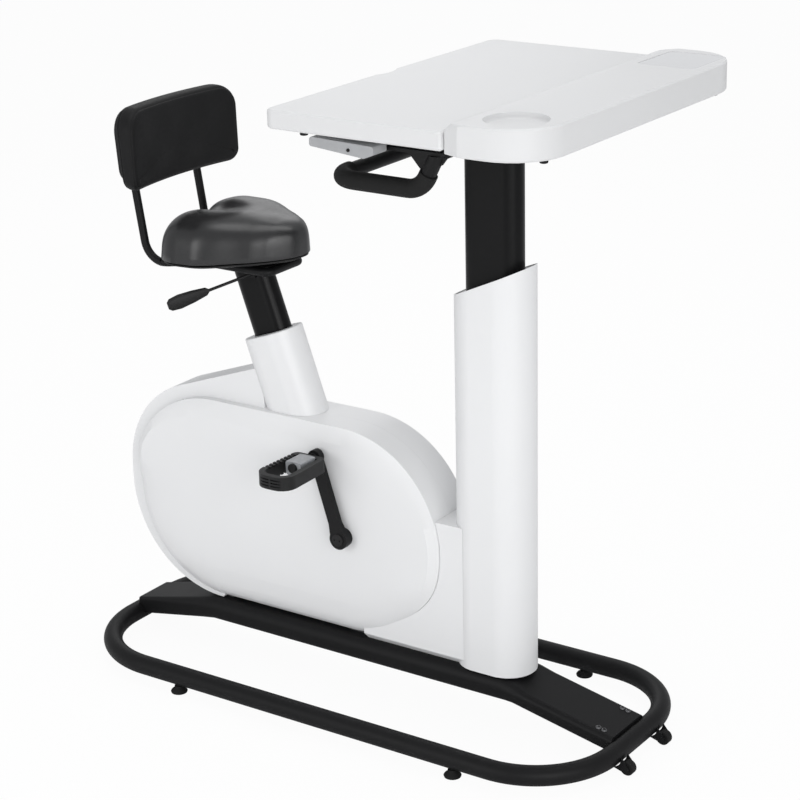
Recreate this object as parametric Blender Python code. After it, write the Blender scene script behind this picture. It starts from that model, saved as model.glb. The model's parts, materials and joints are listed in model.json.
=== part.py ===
# Desk exercise bike: a tube loop base, a housed belt drive, a leaning seat post and a lifting desktop.
# Lengths are in metres. +X runs from the seat to the desk, +Y to the rider's left, +Z up.
# The origin is on the floor, at the middle of the bike's outline.

import math

import bmesh
import bpy
from mathutils import Vector

# Clearances
seatGap = 0.0003
runGap = 0.0004
slideGap = 0.0008

# Base loop: one bent steel tube on four levelling feet
tubeRadius = 0.022
tubeWall = 0.002
loopRearX = -0.596
loopFrontX = 0.574
loopHalfWidth = 0.2455
loopRearBend = 0.215
loopFrontBend = 0.132
footHeight = 0.015
footRadius = 0.017
footStemRadius = 0.005
footStemReach = 0.024
footRearX = -0.323
footFrontX = 0.331

# Spine: a folded steel beam from the rear of the loop to its front
spineHalfWidth = 0.062
spineTopZ = 0.128
spineDepth = 0.054
spineShoulder = 0.012
spineWall = 0.003
spineRearHalfWidth = 0.100
spineRearThickness = 0.018
spineFlareX = -0.361
spineKinkX = 0.362
kinkDrop = 0.034
plateThickness = 0.020

# Transport wheels under the front of the loop
wheelRadius = 0.014
wheelWidth = 0.016
wheelY = 0.070
wheelDropAngle = math.radians(35)
wheelPinRadius = 0.004
wheelCheek = 0.003

# Housing: two half shells with a bevelled face, joined on the centre plane
shellWall = 0.003
seamGap = 0.0003
rimHalfWidth = 0.057
faceHalfWidth = 0.068
faceInset = 0.019
housingTopZ = 0.556
housingFrontX = 0.184
housingRearX = -0.570
housingBend = 0.190
housingHipZ = 0.275
housingHeelFrontX = 0.024
housingHeelRearX = -0.408
housingHeelBend = 0.150

# Ridge that climbs from the rear of the housing to the tower
ridgeHalfWidth = 0.040
ridgeRearX = -0.592
ridgeBend = 0.205
ridgeShoulderX = -0.425
ridgeShoulderZ = 0.577

# Seat post, tower and seat tube share one leaning axis
seatLean = math.radians(19.5)
seatAxisX = -0.237
seatAxisZ = 0.707
postLength = 0.084
postThickness = 0.048
postWall = 0.0025
postBelow = 0.300
postTopZ = 0.846
towerLength = 0.124
towerThickness = 0.096
towerWall = 0.004
towerLid = 0.005
seatTubeWall = 0.0035
seatTubeShort = 0.012
springRadius = 0.014
springRodRadius = 0.005
springBelow = 0.200
springBottom = 0.580

# Crank, pedals, pulley and flywheel
crankX = -0.0285
crankZ = 0.339
crankLength = 0.170
crankTilt = math.radians(17.5)
crankInnerY = 0.078
crankThickness = 0.014
crankBossRadius = 0.020
crankEyeRadius = 0.0145
crankWaist = 0.0115
crankHoleRadius = 0.026
spindleRadius = 0.010
bearingRadius = 0.020
bearingWidth = 0.012
bracketShellRadius = 0.025
bracketShellHalf = 0.038
pulleyRadius = 0.095
pulleyInnerY = 0.0400
pulleyWidth = 0.012
pulleyWeb = 0.004
flywheelX = -0.378
flywheelZ = 0.360
flywheelRadius = 0.135
flywheelHalf = 0.015
flywheelWeb = 0.004
flywheelRim = 0.030
shaftRadius = 0.006
smallPulleyRadius = 0.030
beltThickness = 0.002
beltWidth = 0.009
forkHalf = 0.032
forkCheek = 0.004
forkLength = 0.060
forkAbove = 0.025
brakeLength = 0.052

# Pedals
pedalLength = 0.092
pedalWidth = 0.098
pedalHeight = 0.024
pedalInnerY = 0.104
pedalBar = 0.012
pedalCoreLength = 0.036
pedalCoreEnd = 0.009
pedalSpindleRadius = 0.0065
pedalToothPitch = 0.011
pedalToothWidth = 0.005
pedalToothDepth = 0.004

# Desk post: a fixed guide and shroud, and a sliding column
columnX = 0.279
columnLength = 0.118
columnThickness = 0.056
columnWall = 0.0025
columnBottomZ = 0.360
columnTopZ = 1.160
guideWall = 0.0035
guideTopZ = 0.830
shroudLength = 0.160
shroudThickness = 0.114
shroudWall = 0.003
shroudRearTopZ = 0.853
shroudFrontTopZ = 0.926
capThickness = 0.006
capRecess = 0.002
skirtHalfWidth = 0.053
skirtTopZ = 0.406
deskSpringRadius = 0.014
deskSpringRodRadius = 0.005
deskSpringTopZ = 0.760
deskSpringRodBottomZ = 0.600

# Column head, slide frame and handlebar
headPlateLength = 0.200
headPlateWidth = 0.150
headPlateThickness = 0.006
headTopZ = 1.190
frameRearX = 0.175
frameFrontX = 0.385
frameHalfWidth = 0.285
frameThickness = 0.006
railY = 0.262
railWidth = 0.036
railHeight = 0.0134
railWall = 0.0025
railMouth = 0.017
railRearX = 0.165
railFrontX = 0.415
runnerRearX = 0.100
runnerFrontX = 0.400
runnerFlange = 0.006
barRadius = 0.0125
barZ = 1.127
barStartX = 0.265
barInnerX = 0.268
barInnerY = 0.150
barCornerX = 0.302
barHalfWidth = 0.300
barKneeX = 0.160
barRiderX = 0.084
barRiderY = 0.190
gripThickness = 0.0045
gripStartY = 0.203
gripEndY = 0.235
paddlePinX = 0.211
paddlePinRadius = 0.0028
paddleRearX = 0.095
paddleFrontX = 0.262
paddleInnerY = 0.290
paddleOuterY = 0.345
paddleBottomZ = 1.182
paddleTopZ = 1.208

# Desktop board and raised front console
deskBottomZ = 1.216
deskThickness = 0.033
deskRearX = 0.045
deskJoinX = 0.406
deskFrontX = 0.586
deskHalfWidth = 0.368
deskRearCorner = 0.020
deskEdge = 0.003
notchWidth = 0.076
notchDepth = 0.012
notchDrop = 0.010
consoleHalfWidth = 0.372
consoleTopZ = 1.265
consoleBottomZ = 1.210
consoleRampX = 0.440
consoleSideCut = 0.014
consoleCorner = 0.095
consoleWall = 0.004
cupX = 0.503
cupY = -0.290
cupRadius = 0.055
cupDepth = 0.010
panelX = 0.508
panelY = 0.275
panelLength = 0.116
panelWidth = 0.136
panelThickness = 0.002
panelRecess = 0.0008
panelCorner = 0.012

# Saddle and backrest
saddleRearX = -0.428
saddleNoseX = -0.143
saddleHalfWidth = 0.140
saddleNoseHalf = 0.052
saddleWaistX = -0.205
saddleFlankX = -0.300
saddleBottomZ = 0.8515
saddlePanThickness = 0.008
saddleTopZ = 0.950
panInset = 0.008
bracketTopZ = 0.8510
bracketPlate = 0.005
bracketLength = 0.190
bracketWidth = 0.110
bracketCollar = 0.045
backFaceX = -0.428
backPadThickness = 0.037
backBoardThickness = 0.012
backHalfWidth = 0.195
backBottomZ = 1.004
backTopZ = 1.160
backCorner = 0.034
backSagitta = 0.020
backTubeRadius = 0.008
backTubeY = 0.095
backTubeTopZ = 1.120
backTubeBend = 0.045
backCrossX = -0.372
leverRadius = 0.003
leverPaddle = 0.040
leverPaddleWidth = 0.024
leverPaddleThickness = 0.009
leverRootX = -0.265
leverRootY = -0.0314
leverRootZ = 0.826
leverTipX = -0.370
leverTipY = -0.160
leverTipZ = 0.794

# Finish colours
blackPaint = (0.018, 0.018, 0.020)
blackPlastic = (0.022, 0.022, 0.024)
whitePlastic = (0.86, 0.86, 0.87)
darkSteel = (0.11, 0.11, 0.12)
brightSteel = (0.55, 0.56, 0.58)
rubberBlack = (0.030, 0.030, 0.032)
clearGrey = (0.55, 0.57, 0.60)
paddleGrey = (0.42, 0.43, 0.45)
panelBlack = (0.05, 0.05, 0.06)

for oldItem in list(bpy.data.objects):
    bpy.data.objects.remove(oldItem, do_unlink=True)


# Shape helpers

def finish(item, colour, roughness, metallic=0.0):
    material = bpy.data.materials.new(item.name)
    material.use_nodes = True
    shader = material.node_tree.nodes["Principled BSDF"]
    shader.inputs["Base Color"].default_value = (colour[0], colour[1], colour[2], 1.0)
    shader.inputs["Roughness"].default_value = roughness
    shader.inputs["Metallic"].default_value = metallic
    item.data.materials.clear()
    item.data.materials.append(material)
    return item


def closedMesh(name, vertices, faces, origin=(0.0, 0.0, 0.0)):
    place = Vector(origin)
    work = bmesh.new()
    made = [work.verts.new(Vector(point) - place) for point in vertices]
    for face in faces:
        work.faces.new([made[index] for index in face])
    bmesh.ops.recalc_face_normals(work, faces=work.faces[:])
    mesh = bpy.data.meshes.new(name)
    work.to_mesh(mesh)
    work.free()
    mesh.shade_smooth()
    mesh.set_sharp_from_angle(angle=math.radians(35))
    item = bpy.data.objects.new(name, mesh)
    item.location = place
    bpy.context.scene.collection.objects.link(item)
    return item


def loft(name, rings, origin=(0.0, 0.0, 0.0), around=False):
    # Skins rings of equal length. Capped at both ends, or joined end to start when it goes around.
    count = len(rings[0])
    vertices = [point for ring in rings for point in ring]
    faces = []
    spans = len(rings) if around else len(rings) - 1
    for step in range(spans):
        low = step * count
        high = ((step + 1) % len(rings)) * count
        for index in range(count):
            after = (index + 1) % count
            faces.append((low + index, low + after, high + after, high + index))
    if not around:
        faces.append(tuple(range(count)))
        faces.append(tuple(range((len(rings) - 1) * count, len(rings) * count)))
    return closedMesh(name, vertices, faces, origin)


def cutWith(target, tool):
    return combine(target, tool, "DIFFERENCE")


def joinWith(target, tool):
    return combine(target, tool, "UNION")


def combine(target, tool, operation):
    modifier = target.modifiers.new(tool.name, "BOOLEAN")
    modifier.operation = operation
    modifier.object = tool
    modifier.solver = "EXACT"
    tool.hide_render = True
    tool.display_type = "WIRE"
    return target


def roundedOutline(corners, steps=6):
    # Corners are (a, b, radius); each is replaced by an arc tangent to both of its sides.
    # A right-angled corner gets the given steps, a shallower one fewer.
    points = []
    total = len(corners)
    for index, (a, b, radius) in enumerate(corners):
        here = Vector((a, b))
        before = Vector(corners[index - 1][:2]) - here
        after = Vector(corners[(index + 1) % total][:2]) - here
        before.normalize()
        after.normalize()
        half = before.angle(after) / 2
        if radius < 1e-6:
            points.append(here)
            continue
        centre = here + (before + after).normalized() * (radius / math.sin(half))
        start = here + before * (radius / math.tan(half)) - centre
        turn = math.pi - 2 * half
        side = 1.0 if before.x * after.y - before.y * after.x < 0 else -1.0
        parts = arcSteps(turn, steps)
        for step in range(parts + 1):
            angle = side * turn * step / parts
            turned = Vector((start.x * math.cos(angle) - start.y * math.sin(angle),
                             start.x * math.sin(angle) + start.y * math.cos(angle)))
            points.append(centre + turned)
    return points


def arcSteps(turn, steps):
    return max(2, round(steps * turn / (math.pi / 2)))


def insetCorners(corners, distance):
    # Moves every side of a convex outline inwards; a negative distance grows it.
    area = sum(corners[i - 1][0] * corners[i][1] - corners[i][0] * corners[i - 1][1]
               for i in range(len(corners)))
    side = 1.0 if area > 0 else -1.0
    moved = []
    for index, (a, b, radius) in enumerate(corners):
        here = Vector((a, b))
        inward = (here - Vector(corners[index - 1][:2])).normalized()
        outward = (Vector(corners[(index + 1) % len(corners)][:2]) - here).normalized()
        normalIn = Vector((-inward.y, inward.x)) * side
        normalOut = Vector((-outward.y, outward.x)) * side
        mitre = (normalIn + normalOut).normalized()
        reach = distance / max(0.2, mitre.dot(normalIn))
        point = here + mitre * reach
        moved.append((point.x, point.y, max(radius - distance, 0.0005) if radius > 0 else 0.0))
    return moved


def racetrack(length, thickness, steps=8):
    # Oval section with two straight sides, as (along, across) points.
    radius = thickness / 2
    reach = length / 2 - radius
    points = []
    for end, start in ((1, -math.pi / 2), (-1, math.pi / 2)):
        for step in range(steps + 1):
            angle = start + math.pi * step / steps
            points.append((end * reach + radius * math.cos(angle), radius * math.sin(angle)))
    return points


def circlePoints(radius, count=24):
    return [(radius * math.cos(2 * math.pi * i / count), radius * math.sin(2 * math.pi * i / count))
            for i in range(count)]


def turned(name, profile, centre, axis, count=24, around=False):
    # Profile is a list of (radius, height along the axis).
    direction = Vector(axis).normalized()
    helper = Vector((0, 0, 1)) if abs(direction.z) < 0.9 else Vector((1, 0, 0))
    first = direction.cross(helper).normalized()
    second = direction.cross(first)
    base = Vector(centre)
    rings = []
    for radius, height in profile:
        rings.append([base + direction * height + first * a + second * b
                      for a, b in circlePoints(radius, count)])
    return loft(name, rings, centre, around)


def uprightTube(name, outer, inner, bottom, top, centreX, tilt=0.0):
    # A vertical tube whose top may slope along X: tilt is rise per metre.
    def ring(section, height, slope):
        return [(centreX + a, b, height + slope * a) for a, b in section]
    rings = [ring(outer, bottom, 0.0), ring(outer, top, tilt), ring(inner, top, tilt), ring(inner, bottom, 0.0)]
    return loft(name, rings, (centreX, 0, bottom), around=True)


def extrudeXZ(name, outline, lowY, highY, origin=(0.0, 0.0, 0.0)):
    rings = [[(p[0], y, p[1]) for p in outline] for y in (lowY, highY)]
    return loft(name, rings, origin)


def extrudeXY(name, outline, lowZ, highZ, origin=(0.0, 0.0, 0.0)):
    rings = [[(p[0], p[1], z) for p in outline] for z in (lowZ, highZ)]
    return loft(name, rings, origin)


def extrudeYZ(name, outline, lowX, highX, origin=(0.0, 0.0, 0.0)):
    rings = [[(x, p[0], p[1]) for p in outline] for x in (lowX, highX)]
    return loft(name, rings, origin)


def boxTool(name, low, high):
    outline = [(low[0], low[1]), (high[0], low[1]), (high[0], high[1]), (low[0], high[1])]
    return extrudeXY(name, outline, low[2], high[2])


def sweepRings(path, radius, sides, closedPath=False):
    # Rings square to a path of 3-D points, turned as little as possible from one to the next.
    count = len(path)
    tangents = []
    for index in range(count):
        before = path[index - 1] if closedPath or index > 0 else path[index]
        after = path[(index + 1) % count] if closedPath or index < count - 1 else path[index]
        tangents.append((after - before).normalized())
    helper = Vector((0, 0, 1)) if abs(tangents[0].z) < 0.9 else Vector((0, 1, 0))
    normal = tangents[0].cross(helper).normalized()
    rings = []
    for index in range(count):
        normal = (normal - tangents[index] * normal.dot(tangents[index])).normalized()
        second = tangents[index].cross(normal)
        rings.append([path[index] + normal * a + second * b for a, b in circlePoints(radius, sides)])
    return rings


def roundedPath(corners, steps=6):
    # A 3-D polyline with arcs at its inner corners; corners are (x, y, z, radius).
    points = [Vector(corners[0][:3])]
    for index in range(1, len(corners) - 1):
        here = Vector(corners[index][:3])
        radius = corners[index][3]
        if radius == 0:
            points.append(here)
            continue
        before = (Vector(corners[index - 1][:3]) - here).normalized()
        after = (Vector(corners[index + 1][:3]) - here).normalized()
        half = before.angle(after) / 2
        reach = radius / math.tan(half)
        centre = here + (before + after).normalized() * (radius / math.sin(half))
        start = here + before * reach - centre
        end = here + after * reach - centre
        parts = arcSteps(math.pi - 2 * half, steps)
        for step in range(parts + 1):
            points.append(centre + start.normalized().slerp(end.normalized(), step / parts) * radius)
    points.append(Vector(corners[-1][:3]))
    return points


# The leaning seat frame: u along the section, t up the axis

seatU = Vector((math.cos(seatLean), 0, math.sin(seatLean)))
seatA = Vector((-math.sin(seatLean), 0, math.cos(seatLean)))
seatPoint = Vector((seatAxisX, 0, seatAxisZ))


def seatPlace(u, y, t):
    return seatPoint + seatU * u + Vector((0, y, 0)) + seatA * t


def seatRing(section, t):
    return [seatPlace(a, b, t) for a, b in section]


def seatRingLevel(section, height):
    # The same section carried along the axis to a level plane.
    ring = []
    for a, b in section:
        base = seatPlace(a, b, 0.0)
        ring.append(seatPlace(a, b, (height - base.z) / seatA.z))
    return ring


# Base

def loopOutline():
    corners = [(loopRearX, -loopHalfWidth, loopRearBend), (loopFrontX, -loopHalfWidth, loopFrontBend),
               (loopFrontX, loopHalfWidth, loopFrontBend), (loopRearX, loopHalfWidth, loopRearBend)]
    return roundedOutline(corners, 8)


loopZ = footHeight + tubeRadius


def buildLoop():
    path = [Vector((p.x, p.y, loopZ)) for p in loopOutline()]
    loop = loft("base_loop", sweepRings(path, tubeRadius, 16, True), (0, 0, loopZ), around=True)
    bore = loft("tool_loop_bore", sweepRings(path, tubeRadius - tubeWall, 8, True), (0, 0, loopZ), around=True)
    cutWith(loop, bore)
    for x, y in footPlaces():
        hole = turned("tool_foot_hole", [(footStemRadius + runGap, -tubeRadius - 0.004), (footStemRadius + runGap, 0.0)],
                      (x, y, loopZ), (0, 0, 1), 16)
        cutWith(loop, hole)
    finish(loop, blackPaint, 0.38, 0.2)


def footPlaces():
    return [(footRearX, -loopHalfWidth), (footRearX, loopHalfWidth),
            (footFrontX, -loopHalfWidth), (footFrontX, loopHalfWidth)]


def buildFeet():
    names = ["foot_rear_right", "foot_rear_left", "foot_front_right", "foot_front_left"]
    for name, (x, y) in zip(names, footPlaces()):
        profile = [(footRadius - 0.001, 0.0), (footRadius, 0.003), (footRadius - 0.002, 0.006),
                   (footStemRadius + 0.004, footHeight - 0.004), (footStemRadius + 0.004, footHeight - seatGap),
                   (footStemRadius, footHeight - seatGap), (footStemRadius, footStemReach)]
        foot = turned(name, profile, (x, y, 0), (0, 0, 1), 20)
        finish(foot, rubberBlack, 0.75)


def spineSection(x, halfWidth, top, bottom, radius):
    corners = [(-halfWidth, bottom, radius * 0.4), (halfWidth, bottom, radius * 0.4),
               (halfWidth, top, radius), (-halfWidth, top, radius)]
    return [(x, p.x, p.y) for p in roundedOutline(corners, 4)]


def buildSpine():
    loopTop = loopZ + tubeRadius
    rearEnd = loopRearX - tubeRadius * 0.5
    frontEnd = loopFrontX - tubeRadius - seatGap
    frontTop = loopZ + tubeRadius * 0.75
    stations = [
        (rearEnd, spineRearHalfWidth, loopTop + seatGap + spineRearThickness, loopTop + seatGap),
        (loopRearX + tubeRadius * 2.5, spineRearHalfWidth * 0.94, loopTop + spineRearThickness + 0.012, loopTop + 0.002),
        (spineFlareX, spineHalfWidth, spineTopZ, spineTopZ - spineDepth),
        (spineKinkX, spineHalfWidth, spineTopZ, spineTopZ - spineDepth),
        (spineKinkX + 0.016, spineHalfWidth, spineTopZ - kinkDrop, spineTopZ - spineDepth - 0.006),
        (frontEnd, spineHalfWidth, frontTop, frontTop - plateThickness),
    ]
    outer = [spineSection(x, w, top, low, min(spineShoulder, (top - low) * 0.45)) for x, w, top, low in stations]
    inner = [spineSection(x, w - spineWall, top - spineWall, low + spineWall,
                          min(spineShoulder - spineWall, (top - low) * 0.45 - spineWall * 0.8))
             for x, w, top, low in reversed(stations)]
    spine = loft("spine", outer + inner, (0, 0, spineTopZ), around=True)
    finish(spine, blackPaint, 0.40, 0.2)


def wheelCentre():
    reach = tubeRadius + wheelRadius + 0.001
    return (loopFrontX + reach * math.cos(wheelDropAngle), loopZ - reach * math.sin(wheelDropAngle))


def buildWheel(side, word):
    cx, cz = wheelCentre()
    y = side * wheelY
    cheekIn = wheelWidth / 2 + 0.0015
    cheekOut = cheekIn + wheelCheek
    arc = []
    for step in range(7):
        angle = math.radians(0 - 75 * step / 6)
        arc.append((loopFrontX + (tubeRadius + seatGap) * math.cos(angle),
                    loopZ + (tubeRadius + seatGap) * math.sin(angle)))
    boss = []
    for step in range(9):
        angle = -wheelDropAngle - math.pi / 2 + math.pi * step / 8
        boss.append((cx + 0.0075 * math.cos(angle), cz + 0.0075 * math.sin(angle)))
    outline = arc + boss
    bracket = extrudeXZ("wheel_bracket_" + word, outline, y + cheekIn, y + cheekOut, (cx, y, cz))
    other = extrudeXZ("tool_cheek_" + word, outline, y - cheekOut, y - cheekIn, (cx, y, cz))
    pin = turned("tool_pin_" + word, [(wheelPinRadius, -cheekOut + 0.0005), (wheelPinRadius, cheekOut - 0.0005)],
                 (cx, y, cz), (0, 1, 0), 16)
    joinWith(bracket, pin)
    joinWith(bracket, other)
    finish(bracket, blackPaint, 0.45, 0.2)
    half = wheelWidth / 2
    bore = wheelPinRadius + runGap
    wheel = turned("transport_wheel_" + word,
                   [(wheelRadius - 0.0015, -half), (wheelRadius, -half + 0.0015), (wheelRadius, half - 0.0015),
                    (wheelRadius - 0.0015, half), (bore, half), (bore, -half)],
                   (cx, y, cz), (0, 1, 0), 24, around=True)
    finish(wheel, rubberBlack, 0.6)


# Housing

def housingCorners():
    base = spineTopZ + seatGap
    return [(housingHeelRearX, base, housingHeelBend), (housingHeelFrontX, base, housingHeelBend),
            (housingFrontX, housingHipZ, housingBend), (housingFrontX, housingTopZ, housingBend),
            (housingRearX, housingTopZ, housingBend), (housingRearX, housingHipZ, housingBend)]


def housingOutline(inset, steps=8):
    return roundedOutline(insetCorners(housingCorners(), inset), steps)


def ridgeCorners():
    slope = math.tan(seatLean)
    foot = spineTopZ + seatGap + 0.002
    rearTop = ridgeShoulderZ + slope * (ridgeRearX - ridgeShoulderX)
    heelX = housingHeelRearX + (ridgeRearX - housingRearX)
    return [(heelX, foot, housingHeelBend), (seatAxisX, foot, 0.0),
            (seatAxisX, ridgeShoulderZ + slope * (seatAxisX - ridgeShoulderX), 0.0),
            (ridgeRearX, rearTop, ridgeBend), (ridgeRearX, housingHipZ - 0.006, housingBend)]


def buildShell(side, word):
    seam = seamGap / 2

    def ring(inset, y):
        return [(p.x, side * y, p.y) for p in housingOutline(inset)]
    shell = loft("shell_" + word, [ring(faceInset, faceHalfWidth), ring(0.0, rimHalfWidth), ring(0.0, seam)],
                 (0, 0, spineTopZ))
    ridge = extrudeXZ("tool_ridge_" + word, roundedOutline(ridgeCorners(), 8), side * seam, side * ridgeHalfWidth)
    joinWith(shell, ridge)
    hollow = loft("tool_shell_hollow_" + word,
                  [ring(faceInset + shellWall * 0.6, faceHalfWidth - shellWall),
                   ring(shellWall, rimHalfWidth - shellWall * 0.5), ring(shellWall, -0.01)])
    cutWith(shell, hollow)
    inside = roundedOutline(insetCorners(ridgeCorners(), shellWall), 8)
    ridgeHollow = extrudeXZ("tool_ridge_hollow_" + word, inside, -side * 0.01, side * (ridgeHalfWidth - shellWall))
    cutWith(shell, ridgeHollow)
    envelope = racetrack(towerLength + 2 * seatGap, towerThickness + 2 * seatGap, 10)
    towerTool = loft("tool_tower_" + word,
                     [seatRingLevel(envelope, housingTopZ + 0.0002), seatRing(envelope, 0.05)])
    cutWith(shell, towerTool)
    passage = racetrack(postLength + 2 * (slideGap + seatTubeWall) + 0.004,
                        postThickness + 2 * (slideGap + seatTubeWall) + 0.004, 6)
    postTool = loft("tool_passage_" + word,
                    [seatRingLevel(passage, housingTopZ - 0.02), seatRingLevel(passage, housingTopZ + 0.03)])
    cutWith(shell, postTool)
    crankHole = turned("tool_crank_hole_" + word, [(crankHoleRadius, 0.05), (crankHoleRadius, 0.09)],
                       (crankX, 0, crankZ), (0, side, 0), 32)
    cutWith(shell, crankHole)
    low = -0.01 if side > 0 else -(rimHalfWidth - 0.007)
    high = rimHalfWidth - 0.007 if side > 0 else 0.01
    footRear = flywheelX - forkLength / 2 - 0.006
    footFront = seatPlace(postLength / 2 + slideGap + seatTubeWall, 0, -springBottom).x + 0.014
    footTool = boxTool("tool_shell_foot_" + word, (footRear, low, spineTopZ - 0.01),
                       (footFront, high, spineTopZ + 0.020))
    cutWith(shell, footTool)
    finish(shell, whitePlastic, 0.22)


def buildTower():
    outer = racetrack(towerLength, towerThickness, 10)
    inner = racetrack(towerLength - 2 * towerWall, towerThickness - 2 * towerWall, 10)
    mouth = racetrack(postLength + 0.003, postThickness + 0.003, 10)
    foot = housingTopZ + seatGap
    soft = racetrack(towerLength - 0.003, towerThickness - 0.003, 10)
    rings = [seatRingLevel(outer, foot), seatRing(outer, -0.0015), seatRing(soft, 0.0), seatRing(mouth, 0.0),
             seatRing(mouth, -towerLid), seatRing(inner, -towerLid), seatRingLevel(inner, foot)]
    tower = loft("tower_cover", rings, seatPoint, around=True)
    finish(tower, whitePlastic, 0.25)


def buildSkirt():
    base = spineTopZ + seatGap
    w = skirtHalfWidth
    t = shellWall
    outline = [(-w, base), (-w + t, base), (-w + t, skirtTopZ - t), (w - t, skirtTopZ - t), (w - t, base),
               (w, base), (w, skirtTopZ), (-w, skirtTopZ)]
    skirt = extrudeYZ("front_skirt", outline, housingHeelFrontX + 0.03, columnX, (columnX, 0, base))
    body = extrudeXZ("tool_skirt_body", housingOutline(-seatGap), -0.08, 0.08)
    cutWith(skirt, body)
    envelope = racetrack(shroudLength + 2 * seatGap, shroudThickness + 2 * seatGap, 12)
    post = extrudeXY("tool_skirt_post", [(columnX + a, b) for a, b in envelope], 0.05, 0.60)
    cutWith(skirt, post)
    finish(skirt, whitePlastic, 0.25)


def shroudSlope():
    return (shroudFrontTopZ - shroudRearTopZ) / shroudLength


def buildShroud():
    middle = (shroudFrontTopZ + shroudRearTopZ) / 2
    outer = racetrack(shroudLength, shroudThickness, 12)
    inner = racetrack(shroudLength - 2 * shroudWall, shroudThickness - 2 * shroudWall, 12)
    shroud = uprightTube("post_shroud", outer, inner, spineTopZ + seatGap, middle, columnX, shroudSlope())
    finish(shroud, whitePlastic, 0.25)
    gap = shroudWall + seatGap
    rim = racetrack(shroudLength - 2 * gap, shroudThickness - 2 * gap, 12)
    mouth = racetrack(columnLength + 2 * slideGap, columnThickness + 2 * slideGap, 12)
    top = middle - capRecess
    rings = [[(columnX + a, b, z + shroudSlope() * a) for a, b in section]
             for section, z in ((rim, top - capThickness), (rim, top), (mouth, top), (mouth, top - capThickness))]
    cap = loft("post_cap", rings, (columnX, 0, top), around=True)
    finish(cap, whitePlastic, 0.3)


def buildGuide():
    inner = racetrack(columnLength + 2 * slideGap, columnThickness + 2 * slideGap, 10)
    wall = 2 * (slideGap + guideWall)
    outer = racetrack(columnLength + wall, columnThickness + wall, 10)
    guide = uprightTube("column_guide", outer, inner, spineTopZ + seatGap, guideTopZ, columnX)
    finish(guide, darkSteel, 0.4, 0.8)


# Frame inside the housing

def buildSeatTube():
    inner = racetrack(postLength + 2 * slideGap, postThickness + 2 * slideGap, 10)
    wall = 2 * (slideGap + seatTubeWall)
    outer = racetrack(postLength + wall, postThickness + wall, 10)
    top = -seatTubeShort
    rings = [seatRing(inner, -springBottom - 0.0105), seatRing(inner, top), seatRing(outer, top),
             seatRingLevel(outer, spineTopZ + seatGap)]
    tube = loft("seat_tube", rings, seatPoint)
    reach = Vector((crankX, 0, crankZ)) - seatPoint
    shellU = reach.dot(seatU)
    shellT = reach.dot(seatA)
    front = (postLength + wall) / 2 - seatTubeWall * 0.5
    web = []
    for y in (-0.018, 0.018):
        web.append([seatPlace(u, y, shellT + t) for u, t in
                    ((front, -0.016), (shellU - 0.010, -0.012), (shellU - 0.010, 0.012), (front, 0.016))])
    gusset = loft("tool_gusset", web)
    joinWith(tube, gusset)
    shell = turned("tool_bracket_shell", [(bracketShellRadius, -bracketShellHalf), (bracketShellRadius, bracketShellHalf)],
                   (crankX, 0, crankZ), (0, 1, 0), 32)
    joinWith(tube, shell)
    bore = turned("tool_bracket_bore", [(bearingRadius + seatGap, -0.05), (bearingRadius + seatGap, 0.05)],
                  (crankX, 0, crankZ), (0, 1, 0), 32)
    cutWith(tube, bore)
    finish(tube, darkSteel, 0.45, 0.7)


def buildBearings():
    for side, word in ((-1, "right"), (1, "left")):
        outerEnd = side * bracketShellHalf
        innerEnd = side * (bracketShellHalf - bearingWidth)
        bore = spindleRadius + runGap
        bearing = turned("bearing_" + word, [(bearingRadius, innerEnd), (bearingRadius, outerEnd),
                                             (bore, outerEnd), (bore, innerEnd)],
                         (crankX, 0, crankZ), (0, 1, 0), 32, around=True)
        finish(bearing, brightSteel, 0.3, 1.0)


def buildFork():
    base = spineTopZ + seatGap
    top = flywheelZ + forkAbove
    y = forkHalf
    t = forkCheek
    outline = [(-y, base), (y, base), (y, top), (y - t, top), (y - t, base + t), (-y + t, base + t),
               (-y + t, top), (-y, top)]
    fork = extrudeYZ("flywheel_fork", outline, flywheelX - forkLength / 2, flywheelX + forkLength / 2,
                     (flywheelX, 0, base))
    hole = turned("tool_fork_hole", [(shaftRadius + runGap, -0.06), (shaftRadius + runGap, 0.06)],
                  (flywheelX, 0, flywheelZ), (0, 1, 0), 24)
    cutWith(fork, hole)
    finish(fork, darkSteel, 0.45, 0.7)
    pad = []
    reach = flywheelRadius + 0.0015
    low = base + t + seatGap
    for step in range(9):
        x = -brakeLength / 2 + brakeLength * step / 8
        pad.append((flywheelX + x, flywheelZ - math.sqrt(reach * reach - x * x)))
    outline = [(flywheelX + brakeLength / 2, low), (flywheelX - brakeLength / 2, low)] + pad
    inside = forkHalf - forkCheek - seatGap
    brake = extrudeXZ("brake_block", outline, -inside, inside, (flywheelX, 0, low))
    finish(brake, blackPlastic, 0.6)


# Drive

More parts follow.
